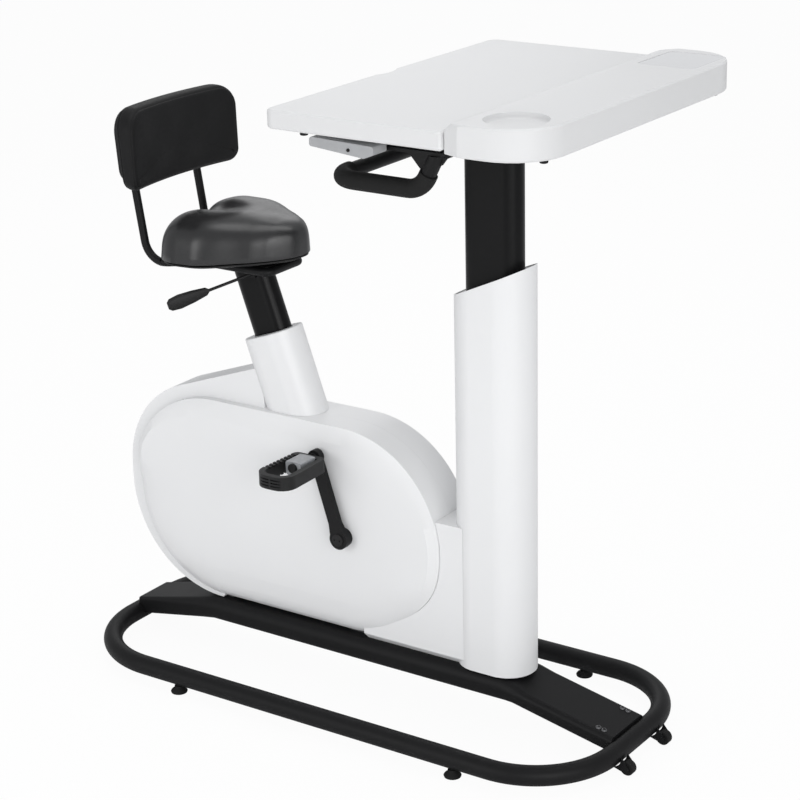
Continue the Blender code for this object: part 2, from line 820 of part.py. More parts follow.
def buildDrive():
    spindleEnd = crankInnerY + crankThickness
    spindle = turned("crank_spindle", [(spindleRadius - 0.001, -spindleEnd + 0.0005), (spindleRadius, -spindleEnd + 0.0015),
                                       (spindleRadius, spindleEnd - 0.0015), (spindleRadius - 0.001, spindleEnd - 0.0005)],
                     (crankX, 0, crankZ), (0, 1, 0), 32)
    finish(spindle, brightSteel, 0.3, 1.0)
    y0 = pulleyInnerY
    y1 = pulleyInnerY + pulleyWidth
    mid = (y0 + y1) / 2
    bore = spindleRadius + seatGap
    profile = [(bore, y0), (0.020, y0), (0.020, mid - pulleyWeb / 2), (pulleyRadius - 0.010, mid - pulleyWeb / 2),
               (pulleyRadius - 0.010, y0), (pulleyRadius + 0.002, y0), (pulleyRadius, y0 + 0.0015),
               (pulleyRadius, y1 - 0.0015), (pulleyRadius + 0.002, y1), (pulleyRadius - 0.010, y1),
               (pulleyRadius - 0.010, mid + pulleyWeb / 2), (0.020, mid + pulleyWeb / 2), (0.020, y1), (bore, y1)]
    pulley = turned("drive_pulley", profile, (crankX, 0, crankZ), (0, 1, 0), 28, around=True)
    finish(pulley, blackPlastic, 0.5)
    half = flywheelHalf
    web = flywheelWeb
    rim = flywheelRadius - flywheelRim
    bore = shaftRadius + seatGap
    profile = [(bore, -half), (0.020, -half), (0.020, -web), (rim, -web), (rim, -half),
               (flywheelRadius - 0.002, -half), (flywheelRadius, -half + 0.002), (flywheelRadius, half - 0.002),
               (flywheelRadius - 0.002, half), (rim, half), (rim, web), (0.020, web), (0.020, half), (bore, half)]
    flywheel = turned("flywheel", profile, (flywheelX, 0, flywheelZ), (0, 1, 0), 28, around=True)
    finish(flywheel, darkSteel, 0.35, 0.9)
    profile = [(shaftRadius, -forkHalf - 0.003), (shaftRadius, y0 - 0.002), (smallPulleyRadius + 0.002, y0 - 0.002),
               (smallPulleyRadius + 0.002, y0), (smallPulleyRadius, y0 + 0.0015), (smallPulleyRadius, y1 - 0.0015),
               (smallPulleyRadius + 0.002, y1), (shaftRadius + 0.003, y1)]
    shaft = turned("flywheel_shaft", profile, (flywheelX, 0, flywheelZ), (0, 1, 0), 24)
    finish(shaft, brightSteel, 0.3, 1.0)
    inner = beltOutline(seatGap)
    outer = beltOutline(seatGap + beltThickness)
    low = mid - beltWidth / 2
    high = mid + beltWidth / 2
    rings = [[(p[0], y, p[1]) for p in outline] for outline, y in
             ((inner, low), (outer, low), (outer, high), (inner, high))]
    belt = loft("drive_belt", rings, (crankX, 0, crankZ), around=True)
    finish(belt, rubberBlack, 0.7)


def beltOutline(offset):
    # Two arcs, one about each pulley, joined by their outer tangents.
    span = Vector((flywheelX - crankX, flywheelZ - crankZ))
    heading = math.atan2(span.y, span.x)
    open = math.acos((pulleyRadius - smallPulleyRadius) / span.length)
    points = []
    for x, z, radius, first, sweep, steps in ((crankX, crankZ, pulleyRadius, open, 2 * math.pi - 2 * open, 24),
                                              (flywheelX, flywheelZ, smallPulleyRadius, -open, 2 * open, 12)):
        # The flat of each facet, not its corner, keeps the running gap to the pulley.
        reach = (radius + offset) / math.cos(sweep / steps / 2)
        for index in range(steps + 1):
            angle = heading + first + sweep * index / steps
            points.append((x + reach * math.cos(angle), z + reach * math.sin(angle)))
    return points


def pedalCentre(side):
    # The right crank points up and back, the left one down and forward.
    reach = crankLength if side < 0 else -crankLength
    return (crankX - reach * math.sin(crankTilt), crankZ + reach * math.cos(crankTilt))


def buildCrank(side, word):
    px, pz = pedalCentre(side)
    along = Vector((px - crankX, pz - crankZ)).normalized()
    across = Vector((-along.y, along.x))
    hub = Vector((crankX, crankZ))
    eye = Vector((px, pz))
    outline = []
    spread = math.radians(52)
    for step in range(17):
        angle = spread + (2 * math.pi - 2 * spread) * step / 16
        outline.append(hub + along * crankBossRadius * math.cos(angle) + across * crankBossRadius * math.sin(angle))
    outline.append(hub + along * 0.034 - across * crankWaist)
    for step in range(13):
        angle = math.pi + spread + (2 * math.pi - 2 * spread) * step / 12
        outline.append(eye + along * crankEyeRadius * math.cos(angle) + across * crankEyeRadius * math.sin(angle))
    outline.append(hub + along * 0.034 + across * crankWaist)
    y0 = side * crankInnerY
    y1 = side * (crankInnerY + crankThickness)
    arm = extrudeXZ("crank_arm_" + word, outline, y0, y1, (crankX, 0, crankZ))
    hole = turned("tool_crank_bore_" + word, [(spindleRadius + seatGap, -0.02), (spindleRadius + seatGap, 0.02)],
                  (crankX, side * (crankInnerY + crankThickness / 2), crankZ), (0, 1, 0), 32)
    cutWith(arm, hole)
    eyeHole = turned("tool_eye_bore_" + word, [(pedalSpindleRadius + seatGap, -0.02), (pedalSpindleRadius + seatGap, 0.02)],
                     (px, side * (crankInnerY + crankThickness / 2), pz), (0, 1, 0), 24)
    cutWith(arm, eyeHole)
    finish(arm, blackPaint, 0.4, 0.3)


def buildPedal(side, word):
    px, pz = pedalCentre(side)
    yIn = pedalInnerY
    yOut = pedalInnerY + pedalWidth
    y0 = crankInnerY + 0.001
    spindle = turned("pedal_spindle_" + word,
                     [(pedalSpindleRadius, y0), (pedalSpindleRadius, crankInnerY + crankThickness + 0.001),
                      (pedalSpindleRadius + 0.003, crankInnerY + crankThickness + 0.001),
                      (pedalSpindleRadius + 0.003, yIn - 0.003), (pedalSpindleRadius, yIn - 0.003),
                      (pedalSpindleRadius * 0.7, yOut - pedalBar - 0.002)],
                     (px, 0, pz), (0, side, 0), 24)
    finish(spindle, brightSteel, 0.3, 1.0)
    half = pedalLength / 2
    low = pz - pedalHeight / 2
    high = pz + pedalHeight / 2
    corner = 0.016

    def plan(inset, inner):
        a = half - inset
        corners = [(px - a, side * (yIn + inset), corner if not inner else 0.006),
                   (px + a, side * (yIn + inset), corner if not inner else 0.006),
                   (px + a, side * (yOut - inset), corner if not inner else 0.006),
                   (px - a, side * (yOut - inset), corner if not inner else 0.006)]
        return roundedOutline(corners, 4)
    rings = [[(p.x, p.y, z) for p in plan(inset, inner)] for inset, inner, z in
             ((0, False, low), (0, False, high), (pedalBar, True, high), (pedalBar, True, low))]
    cage = loft("pedal_cage_" + word, rings, (px, 0, pz), around=True)
    passage = turned("tool_cage_bore_" + word, [(pedalSpindleRadius + 0.003 + runGap * 2, yIn - 0.01),
                                                (pedalSpindleRadius + 0.003 + runGap * 2, yIn + pedalBar + 0.004)],
                     (px, 0, pz), (0, side, 0), 24)
    cutWith(cage, passage)
    teeth = int((pedalWidth - 0.030) / pedalToothPitch)
    first = yIn + (pedalWidth - (teeth - 1) * pedalToothPitch) / 2
    for index in range(teeth):
        y = side * (first + index * pedalToothPitch)
        w = pedalToothWidth / 2
        for edge in (low, high):
            tool = boxTool("tool_tooth_" + word, (px - half - 0.01, y - w, edge - pedalToothDepth),
                           (px + half + 0.01, y + w, edge + pedalToothDepth))
            cutWith(cage, tool)
    finish(cage, blackPlastic, 0.5)
    c = pedalCoreLength / 2
    coreIn = yIn + pedalBar + seatGap
    coreOut = yOut - pedalBar - seatGap
    h = pedalHeight / 2 - 0.002
    outline = roundedOutline([(px - c, pz - h, 0.006), (px + c, pz - h, 0.006), (px + c, pz + h, 0.006),
                              (px - c, pz + h, 0.006)], 3)
    core = extrudeXZ("pedal_core_" + word, outline, side * coreIn, side * coreOut, (px, 0, pz))
    bore = turned("tool_core_bore_" + word, [(pedalSpindleRadius + runGap, yIn), (pedalSpindleRadius + runGap, yOut - pedalBar - 0.0015)],
                  (px, 0, pz), (0, side, 0), 24)
    cutWith(core, bore)
    finish(core, clearGrey, 0.1)


# Seat

def buildSeatPost():
    outer = racetrack(postLength, postThickness, 10)
    inner = racetrack(postLength - 2 * postWall, postThickness - 2 * postWall, 10)
    rings = [seatRing(outer, -postBelow), seatRingLevel(outer, postTopZ), seatRingLevel(inner, postTopZ - 0.004),
             seatRing(inner, -postBelow)]
    lid = [seatRing(inner, -postBelow), seatRing(outer, -postBelow), seatRingLevel(outer, postTopZ)]
    post = loft("seat_post", [seatRingLevel(inner, postTopZ - 0.004)] + lid, seatPoint)
    finish(post, blackPaint, 0.25, 0.3)
    bottom = -springBottom
    top = -springBelow
    depth = -springBottom + 0.020
    bore = springRodRadius + slideGap
    profile = [(springRadius - 0.001, bottom - 0.010), (springRadius, bottom - 0.009), (springRadius, top - 0.002),
               (springRadius - 0.002, top), (bore, top), (bore, depth)]
    cylinder = turned("seat_spring_cylinder", profile, seatPoint, seatA, 24)
    finish(cylinder, blackPaint, 0.3, 0.5)
    lidBase = seatPlace(0, 0, 0)
    rodTop = (postTopZ - 0.004 - seatGap - lidBase.z) / seatA.z - springRodRadius * math.tan(seatLean)
    rod = turned("seat_spring_rod", [(springRodRadius, -postBelow - 0.080), (springRodRadius, rodTop)],
                 seatPoint, seatA, 20)
    finish(rod, brightSteel, 0.15, 1.0)


def buildSaddleBracket():
    around = racetrack(postLength + 2 * seatGap, postThickness + 2 * seatGap, 10)
    collar = racetrack(postLength + 0.010, postThickness + 0.010, 10)
    lidBase = seatPlace(0, 0, 0)
    topT = (postTopZ - lidBase.z) / seatA.z
    plateLow = bracketTopZ - bracketPlate
    centre = seatPlace(0, 0, topT)
    # The plate's outline has as many points as the collar, one per direction from the centre.
    plate = []
    for a, b in collar:
        angle = math.atan2(b / postThickness, a / postLength)
        c = math.cos(angle)
        s = math.sin(angle)
        power = 0.28
        plate.append((centre.x + bracketLength / 2 * math.copysign(abs(c) ** power, c),
                      bracketWidth / 2 * math.copysign(abs(s) ** power, s)))
    rings = [seatRingLevel(around, postTopZ + seatGap), seatRing(around, topT - bracketCollar),
             seatRing(collar, topT - bracketCollar), seatRingLevel(collar, plateLow - 0.0005),
             [(x, y, plateLow) for x, y in plate], [(x, y, bracketTopZ) for x, y in plate]]
    bracket = loft("saddle_bracket", rings, centre)
    finish(bracket, blackPaint, 0.45, 0.3)


def saddleCorners():
    w = saddleHalfWidth
    n = saddleNoseHalf
    half = [(saddleRearX, -w, 0.075), (saddleFlankX, -w, 0.100), (saddleWaistX, -n - 0.010, 0.050),
            (saddleNoseX, -n, 0.045)]
    return half + [(x, -y, r) for x, y, r in reversed(half)]


def buildSaddle():
    plan = roundedOutline(saddleCorners(), 6)
    low = saddleBottomZ
    mid = low + saddlePanThickness
    centreX = (saddleRearX + saddleNoseX) / 2

    def ring(scale, z, lift=0.0):
        return [(centreX + (p.x - centreX) * scale, p.y * scale, z + lift) for p in plan]
    pan = loft("saddle_pan", [ring(0.90, low), ring(0.95, low + 0.003), ring(0.95, mid)], (centreX, 0, low))
    finish(pan, blackPlastic, 0.5)
    start = mid + seatGap
    rise = saddleTopZ - start
    rings = [ring(0.96, start), ring(1.0, start + rise * 0.12), ring(0.995, start + rise * 0.45),
             ring(0.94, start + rise * 0.75), ring(0.80, start + rise * 0.94), ring(0.60, start + rise)]
    cushion = loft("saddle_cushion", rings, (centreX, 0, low))
    finish(cushion, rubberBlack, 0.3)


def backRing(inset, x):
    corners = [(-backHalfWidth, backBottomZ, backCorner), (backHalfWidth, backBottomZ, backCorner),
               (backHalfWidth, backTopZ, backCorner), (-backHalfWidth, backTopZ, backCorner)]
    ring = []
    for p in roundedOutline(insetCorners(corners, inset), 5):
        ring.append((x, p.x, p.y))
    return ring


def bowed(item):
    # Bends the flat piece forward at its sides, by the square of the distance from the middle.
    work = bmesh.new()
    work.from_mesh(item.data)
    crossing = [edge for edge in work.edges if abs(edge.verts[0].co.y - edge.verts[1].co.y) > backHalfWidth]
    bmesh.ops.subdivide_edges(work, edges=crossing, cuts=7, use_grid_fill=True)
    bmesh.ops.triangulate(work, faces=work.faces[:])
    for vertex in work.verts:
        vertex.co.x += backSagitta * (vertex.co.y / backHalfWidth) ** 2
    work.to_mesh(item.data)
    work.free()
    return item


def stripRings(frontX, rearX, inset, columns=16):
    # The pad as a row of upright slices from one side to the other, each a front and rear edge pair.
    rings = []
    half = backHalfWidth - inset
    corner = max(backCorner - inset, 0.002)
    for index in range(columns + 1):
        y = -half * math.cos(math.pi * index / columns)
        dent = max(0.0, abs(y) - (half - corner))
        trim = corner - math.sqrt(max(corner * corner - dent * dent, 0.0))
        low = backBottomZ + inset + trim
        high = backTopZ - inset - trim
        if index in (0, columns):
            low = backBottomZ + backCorner * 0.9
            high = backTopZ - backCorner * 0.9
        shift = backSagitta * (y / backHalfWidth) ** 2
        soft = min(0.006, abs(frontX - rearX) * 0.3)
        rings.append([(rearX + shift, y, low + soft), (rearX + shift, y, high - soft), (rearX + soft + shift, y, high),
                      (frontX - soft + shift, y, high), (frontX + shift, y, high - soft),
                      (frontX + shift, y, low + soft), (frontX - soft + shift, y, low), (rearX + soft + shift, y, low)])
    return rings


def buildBackrest():
    padRear = backFaceX - backPadThickness
    boardFront = padRear - seatGap
    boardRear = boardFront - backBoardThickness
    pad = loft("backrest_pad", stripRings(backFaceX, padRear, 0.0), (padRear, 0, backBottomZ))
    finish(pad, rubberBlack, 0.45)
    board = loft("backrest_board", stripRings(boardFront, boardRear, 0.006), (boardRear, 0, backBottomZ))
    finish(board, blackPlastic, 0.5)
    y = backTubeY
    sideX = boardRear + backSagitta * (y / backHalfWidth) ** 2 - backTubeRadius - 0.0005
    level = bracketTopZ - bracketPlate - backTubeRadius - seatGap
    corners = [(sideX, -y, backTubeTopZ, 0), (sideX, -y, level, backTubeBend), (backCrossX, -y, level, 0.030),
               (backCrossX, y, level, 0.030), (sideX, y, level, backTubeBend), (sideX, y, backTubeTopZ, 0)]
    path = roundedPath(corners, 6)
    frame = loft("backrest_frame", sweepRings(path, backTubeRadius, 12), (backCrossX, 0, level))
    finish(frame, blackPaint, 0.35, 0.3)


def buildSeatLever():
    root = Vector((leverRootX, leverRootY, leverRootZ))
    tip = Vector((leverTipX, leverTipY, leverTipZ))
    along = (tip - root).normalized()
    across = along.cross(Vector((0, 0, 1))).normalized()
    up = across.cross(along)
    length = (tip - root).length

    def ring(distance, width, height):
        return [root + along * distance + across * width * a + up * height * b for a, b in circlePoints(1.0, 12)]
    neck = length - leverPaddle
    rings = [ring(0.0, leverRadius, leverRadius), ring(neck - 0.004, leverRadius, leverRadius),
             ring(neck + 0.002, leverPaddleWidth * 0.28, leverRadius),
             ring(neck + leverPaddle * 0.35, leverPaddleWidth * 0.42, leverPaddleThickness * 0.45),
             ring(neck + leverPaddle * 0.70, leverPaddleWidth * 0.50, leverPaddleThickness * 0.50),
             ring(neck + leverPaddle * 0.92, leverPaddleWidth * 0.38, leverPaddleThickness * 0.40),
             ring(length, leverPaddleWidth * 0.15, leverPaddleThickness * 0.20)]
    lever = loft("seat_lever", rings, root)
    finish(lever, blackPlastic, 0.4)


# Desk

def buildColumn():
    outer = racetrack(columnLength, columnThickness, 10)
    inner = racetrack(columnLength - 2 * columnWall, columnThickness - 2 * columnWall, 10)
    column = uprightTube("desk_column", outer, inner, columnBottomZ, columnTopZ, columnX)
    finish(column, blackPaint, 0.25, 0.4)
    head = headTopZ - headPlateThickness
    plate = []
    for a, b in racetrack(columnLength, columnThickness, 10):
        angle = math.atan2(b / columnThickness, a / columnLength)
        c = math.cos(angle)
        s = math.sin(angle)
        plate.append((columnX + headPlateLength / 2 * math.copysign(abs(c) ** 0.28, c),
                      headPlateWidth / 2 * math.copysign(abs(s) ** 0.28, s)))
    foot = [(columnX + a, b, columnTopZ + seatGap) for a, b in outer]
    waist = [(columnX + a * 1.12, b * 1.2, columnTopZ + 0.014) for a, b in outer]
    rings = [foot, waist, [(x, y, head) for x, y in plate], [(x, y, headTopZ) for x, y in plate]]
    block = loft("column_head", rings, (columnX, 0, columnTopZ))
    finish(block, blackPaint, 0.45, 0.3)
    bore = deskSpringRodRadius + slideGap
    profile = [(deskSpringRadius, spineTopZ + seatGap), (deskSpringRadius, deskSpringTopZ - 0.003),
               (deskSpringRadius - 0.003, deskSpringTopZ), (bore, deskSpringTopZ), (bore, spineTopZ + 0.03)]
    cylinder = turned("desk_spring_cylinder", profile, (columnX, 0, 0), (0, 0, 1), 24)
    finish(cylinder, blackPaint, 0.3, 0.5)
    rod = turned("desk_spring_rod", [(deskSpringRodRadius, deskSpringRodBottomZ), (deskSpringRodRadius, columnTopZ)],
                 (columnX, 0, 0), (0, 0, 1), 20)
    finish(rod, brightSteel, 0.15, 1.0)


def buildSlideFrame():
    z0 = headTopZ + seatGap
    z1 = z0 + frameThickness
    corners = [(frameRearX, -frameHalfWidth, 0.012), (frameFrontX, -frameHalfWidth, 0.012),
               (frameFrontX, frameHalfWidth, 0.012), (frameRearX, frameHalfWidth, 0.012)]
    frame = extrudeXY("slide_frame", roundedOutline(corners, 3), z0, z1, (columnX, 0, z0))
    inner = headPlateWidth / 2 + 0.020
    outer = railY - railWidth / 2 - 0.010
    for side in (-1, 1):
        low = min(side * inner, side * outer)
        high = max(side * inner, side * outer)
        window = [(frameRearX + 0.030, low, 0.010), (frameFrontX - 0.030, low, 0.010),
                  (frameFrontX - 0.030, high, 0.010), (frameRearX + 0.030, high, 0.010)]
        cutWith(frame, extrudeXY("tool_window", roundedOutline(window, 3), z0 - 0.01, z1 + 0.01))
    for side in (-1, 1):
        w = railWidth / 2
        m = railMouth / 2
        t = railWall
        base = z1 - 0.0005
        top = z1 + railHeight
        section = [(-w, base), (w, base), (w, top), (m, top), (m, top - t), (w - t, top - t), (w - t, z1 + t),
                   (-w + t, z1 + t), (-w + t, top - t), (-m, top - t), (-m, top), (-w, top)]
        rail = extrudeYZ("tool_rail", [(side * railY + a, b) for a, b in section], railRearX, railFrontX)
        joinWith(frame, rail)
    pinZ = z0 + frameThickness / 2
    pin = turned("tool_paddle_pin", [(paddlePinRadius, frameHalfWidth - 0.01), (paddlePinRadius, paddleOuterY + 0.002)],
                 (paddlePinX, 0, pinZ), (0, -1, 0), 16)
    joinWith(frame, pin)
    finish(frame, blackPaint, 0.45, 0.3)


def buildRunner(side, word):
    z1 = headTopZ + seatGap + frameThickness
    low = z1 + railWall + seatGap
    flange = low + runnerFlange
    top = deskBottomZ - seatGap
    w = railWidth / 2 - railWall - slideGap
    m = railMouth / 2 - slideGap
    section = [(-w, low), (w, low), (w, flange), (m, flange), (m, top), (-m, top), (-m, flange), (-w, flange)]
    runner = extrudeYZ("runner_" + word, [(side * railY + a, b) for a, b in section], runnerRearX, runnerFrontX,
                       (runnerRearX, side * railY, low))
    finish(runner, brightSteel, 0.3, 0.9)


def between(a, b, y):
    # The point at the given y on the straight between two plan points.
    share = (y - a[1]) / (b[1] - a[1])
    return (a[0] + (b[0] - a[0]) * share, y)


def handlebarPath():
    start = columnThickness / 2 + seatGap
    inner = (barInnerX, -barInnerY)
    corner = (barCornerX, -barHalfWidth)
    knee = (barKneeX, -barHalfWidth)
    rider = (barRiderX, -barRiderY)
    gripStart = between(inner, corner, -gripStartY)
    gripEnd = between(knee, rider, -gripEndY)
    half = [(barStartX, -start, 0), (inner[0], inner[1], 0.060), (gripStart[0], gripStart[1], 0),
            (corner[0], corner[1], 0.038), (knee[0], knee[1], 0.055), (gripEnd[0], gripEnd[1], 0),
            (rider[0], rider[1], 0.060)]
    right = [(x, y, barZ, r) for x, y, r in half]
    left = [(x, -y, barZ, r) for x, y, r in reversed(half)]
    return roundedPath(right + left, 5), gripStart, gripEnd


def nearestIndex(path, x, y):
    return min(range(len(path)), key=lambda i: (path[i].x - x) ** 2 + (path[i].y - y) ** 2)


def buildHandlebar():
    path, gripStart, gripEnd = handlebarPath()
    bar = loft("handlebar", sweepRings(path, barRadius, 14), (columnX, 0, barZ))
    finish(bar, blackPaint, 0.35, 0.3)
    inside = sweepRings(path, barRadius + seatGap, 14)
    outside = sweepRings(path, barRadius + gripThickness, 14)
    for side, word in ((1, "right"), (-1, "left")):
        ends = sorted((nearestIndex(path, gripStart[0], side * gripStart[1]),
                       nearestIndex(path, gripEnd[0], side * gripEnd[1])))
        sleeve = outside[ends[0]:ends[1] + 1] + list(reversed(inside[ends[0]:ends[1] + 1]))
        grip = loft("grip_" + word, sleeve, path[sum(ends) // 2], around=True)
        finish(grip, rubberBlack, 0.8)


def buildPaddle():
    pinZ = headTopZ + seatGap + frameThickness / 2
    outline = roundedOutline([(paddleRearX, paddleBottomZ + 0.006, 0.004), (paddleFrontX - 0.02, paddleBottomZ, 0.006),
                              (paddleFrontX, paddleBottomZ + 0.008, 0.004), (paddleFrontX, paddleTopZ - 0.004, 0.004),
                              (paddleRearX, paddleTopZ, 0.006)], 3)
    paddle = extrudeXZ("desk_paddle", outline, -paddleOuterY, -paddleInnerY, (paddlePinX, -paddleInnerY, pinZ))
    bore = turned("tool_paddle_bore", [(paddlePinRadius + runGap, 0.2), (paddlePinRadius + runGap, 0.4)],
                  (paddlePinX, 0, pinZ), (0, -1, 0), 16)
    cutWith(paddle, bore)
    finish(paddle, paddleGrey, 0.45)


def slab(name, corners, bottom, top, edge, origin):
    rings = []
    for inset, z in ((edge, bottom), (0.0, bottom + edge), (0.0, top - edge), (edge, top)):
        rings.append([(p.x, p.y, z) for p in roundedOutline(insetCorners(corners, inset), 8)])
    return loft(name, rings, origin)


def buildDesktop():
    top = deskBottomZ + deskThickness
    corners = [(deskRearX, -deskHalfWidth, deskRearCorner), (deskJoinX - seatGap, -deskHalfWidth, 0.004),
               (deskJoinX - seatGap, deskHalfWidth, 0.004), (deskRearX, deskHalfWidth, deskRearCorner)]
    board = slab("desktop_board", corners, deskBottomZ, top, deskEdge, (deskRearX, 0, deskBottomZ))
    radius = (notchWidth ** 2 / 4 + notchDepth ** 2) / (2 * notchDepth)
    scoop = turned("tool_notch", [(radius, top - notchDrop), (radius, top + 0.01)],
                   (deskRearX + notchDepth - radius, 0, 0), (0, 0, 1), 64)
    cutWith(board, scoop)
    finish(board, whitePlastic, 0.35)


def buildConsole():
    top = deskBottomZ + deskThickness
    front = deskFrontX
    w = consoleHalfWidth
    cut = consoleSideCut

    def plan(inset, rearX, sideX):
        corners = [(rearX, -w + cut, 0.004), (sideX, -w, 0.010), (front, -w, consoleCorner),
                   (front, w, consoleCorner), (sideX, w, 0.010), (rearX, w - cut, 0.004)]
        return roundedOutline(insetCorners(corners, inset), 8)
    join = deskJoinX
    side = consoleRampX
    edge = deskEdge
    rings = [[(p.x, p.y, z) for p in plan(inset, rear, sideX)] for inset, rear, sideX, z in
             ((edge, join - edge, side, consoleBottomZ), (0.0, join, side, consoleBottomZ + edge),
              (0.0, join, side, top - 0.001), (0.0, side - 0.020, side, consoleTopZ - edge),
              (edge, side - edge, side + 0.010, consoleTopZ))]
    console = loft("console", rings, (join, 0, consoleBottomZ))
    cup = turned("tool_cup", [(cupRadius - 0.006, consoleTopZ - cupDepth), (cupRadius - 0.001, consoleTopZ - cupDepth + 0.003),
                              (cupRadius, consoleTopZ - 0.001), (cupRadius + 0.002, consoleTopZ + 0.005)],
                 (cupX, cupY, 0), (0, 0, 1), 40)
    cutWith(console, cup)
    seat = panelThickness + panelRecess + seatGap
    pocket = extrudeXY("tool_panel_pocket", panelOutline(seatGap), consoleTopZ - seat, consoleTopZ + 0.01)
    cutWith(console, pocket)
    under = roundedOutline(insetCorners([(join, -w + cut, 0.004), (side, -w, 0.010), (front, -w, consoleCorner),
                                         (front, w, consoleCorner), (side, w, 0.010), (join, w - cut, 0.004)],
                                        consoleWall), 5)
    cavity = extrudeXY("tool_console_cavity", under, consoleBottomZ - 0.01, consoleTopZ - cupDepth - consoleWall)
    cutWith(console, cavity)
    finish(console, whitePlastic, 0.3)
    low = consoleTopZ - panelThickness - panelRecess
    panel = extrudeXY("display_panel", panelOutline(0.0), low, low + panelThickness, (panelX, panelY, low))
    finish(panel, panelBlack, 0.15)


def panelOutline(grow):
    a = panelLength / 2 + grow
    b = panelWidth / 2 + grow
    r = panelCorner + grow
    return roundedOutline([(panelX - a, panelY - b, r), (panelX + a, panelY - b, r), (panelX + a, panelY + b, r),
                           (panelX - a, panelY + b, r)], 4)


# Assembly

buildLoop()
buildFeet()
buildSpine()
for sideSign, sideWord in ((-1, "right"), (1, "left")):
    buildWheel(sideSign, sideWord)
    buildShell(sideSign, sideWord)
    buildCrank(sideSign, sideWord)
    buildPedal(sideSign, sideWord)
    buildRunner(sideSign, sideWord)
buildTower()
buildSkirt()
buildShroud()
buildGuide()
buildSeatTube()
buildBearings()
buildFork()
buildDrive()
buildSeatPost()
buildSaddleBracket()
buildSaddle()
buildBackrest()
buildSeatLever()
buildColumn()
buildSlideFrame()
buildHandlebar()
buildPaddle()
buildDesktop()
buildConsole()
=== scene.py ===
import json
import math

import bmesh
import bpy
import numpy as np
from mathutils import Matrix, Vector

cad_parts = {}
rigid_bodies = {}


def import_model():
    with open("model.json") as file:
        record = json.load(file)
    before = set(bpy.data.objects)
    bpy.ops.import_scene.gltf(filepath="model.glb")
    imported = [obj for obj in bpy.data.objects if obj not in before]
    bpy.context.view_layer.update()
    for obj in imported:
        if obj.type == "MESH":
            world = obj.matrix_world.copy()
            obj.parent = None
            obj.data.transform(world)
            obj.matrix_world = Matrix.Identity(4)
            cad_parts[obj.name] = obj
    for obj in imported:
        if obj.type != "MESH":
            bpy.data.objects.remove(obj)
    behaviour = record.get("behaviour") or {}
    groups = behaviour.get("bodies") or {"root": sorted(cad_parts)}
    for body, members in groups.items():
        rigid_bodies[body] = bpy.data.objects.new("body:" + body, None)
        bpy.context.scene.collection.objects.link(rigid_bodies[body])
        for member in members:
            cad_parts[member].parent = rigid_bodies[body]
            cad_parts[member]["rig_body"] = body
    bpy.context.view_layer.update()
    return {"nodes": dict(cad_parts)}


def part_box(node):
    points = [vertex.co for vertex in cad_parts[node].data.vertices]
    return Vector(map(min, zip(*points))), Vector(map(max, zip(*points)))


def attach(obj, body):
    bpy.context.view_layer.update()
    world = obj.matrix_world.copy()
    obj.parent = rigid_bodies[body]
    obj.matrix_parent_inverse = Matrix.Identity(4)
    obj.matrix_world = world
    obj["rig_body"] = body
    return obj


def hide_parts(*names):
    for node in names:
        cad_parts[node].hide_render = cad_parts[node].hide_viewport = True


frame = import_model()
print("frame loaded:", len(frame["nodes"]), "nodes")


# Camera and studio

cameraSet = {
    "place": (2.3789, -3.3565, 2.0559),
    "target": (0.0620, 0.0, 0.6165),
    "roll": math.radians(-1.282),
    "lens": 101.77,
}

studio = {
    "floorColour": (0.90, 0.90, 0.90),
    "floorLift": 0.95,
    "worldColour": (0.93, 0.94, 0.96),
    "worldStrength": 0.56,
    "lamps": [
        {"name": "key", "place": (-1.4, -4.2, 1.7), "size": 2.6, "power": 42, "aim": (0.0, 0.0, 0.7)},
        {"name": "fill", "place": (3.5, -1.9, 1.5), "size": 2.4, "power": 32, "aim": (0.1, 0.0, 0.7)},
        {"name": "top", "place": (0.2, 0.4, 4.2), "size": 3.0, "power": 46, "aim": (0.0, 0.0, 0.6)},
        {"name": "front", "place": (2.7, -3.1, 1.5), "size": 1.6, "power": 24, "aim": (0.1, 0.0, 0.6)},
        {"name": "back", "place": (-2.4, 3.0, 2.6), "size": 2.2, "power": 12, "aim": (0.0, 0.0, 0.8)}],
}


def aimed(place, target, roll=0.0):
    forward = (Vector(target) - Vector(place)).normalized()
    right = forward.cross(Vector((0, 0, 1))).normalized()
    up = right.cross(forward)
    across = right * math.cos(roll) + up * math.sin(roll)
    upright = up * math.cos(roll) - right * math.sin(roll)
    turn = Matrix((across, upright, -forward)).transposed().to_4x4()
    return Matrix.Translation(Vector(place)) @ turn


def makeCamera(settings):
    camera = bpy.data.objects.new("camera", bpy.data.cameras.new("camera"))
    camera.data.lens = settings["lens"]
    camera.data.sensor_width = 36.0
    camera.data.clip_end = 60.0
    camera.matrix_world = aimed(settings["place"], settings["target"], settings["roll"])
    bpy.context.scene.collection.objects.link(camera)
    bpy.context.scene.camera = camera


makeCamera(cameraSet)
bpy.context.scene.view_settings.view_transform = "Standard"


# Shader kit

class Value:
    # A number in a shader; arithmetic on it adds Math nodes.
    def __init__(self, finish, socket):
        self.finish = finish
        self.socket = socket

    def __add__(self, other):
        return self.finish.maths("ADD", self, other)

    def __mul__(self, other):
        return self.finish.maths("MULTIPLY", self, other)

    __radd__ = __add__


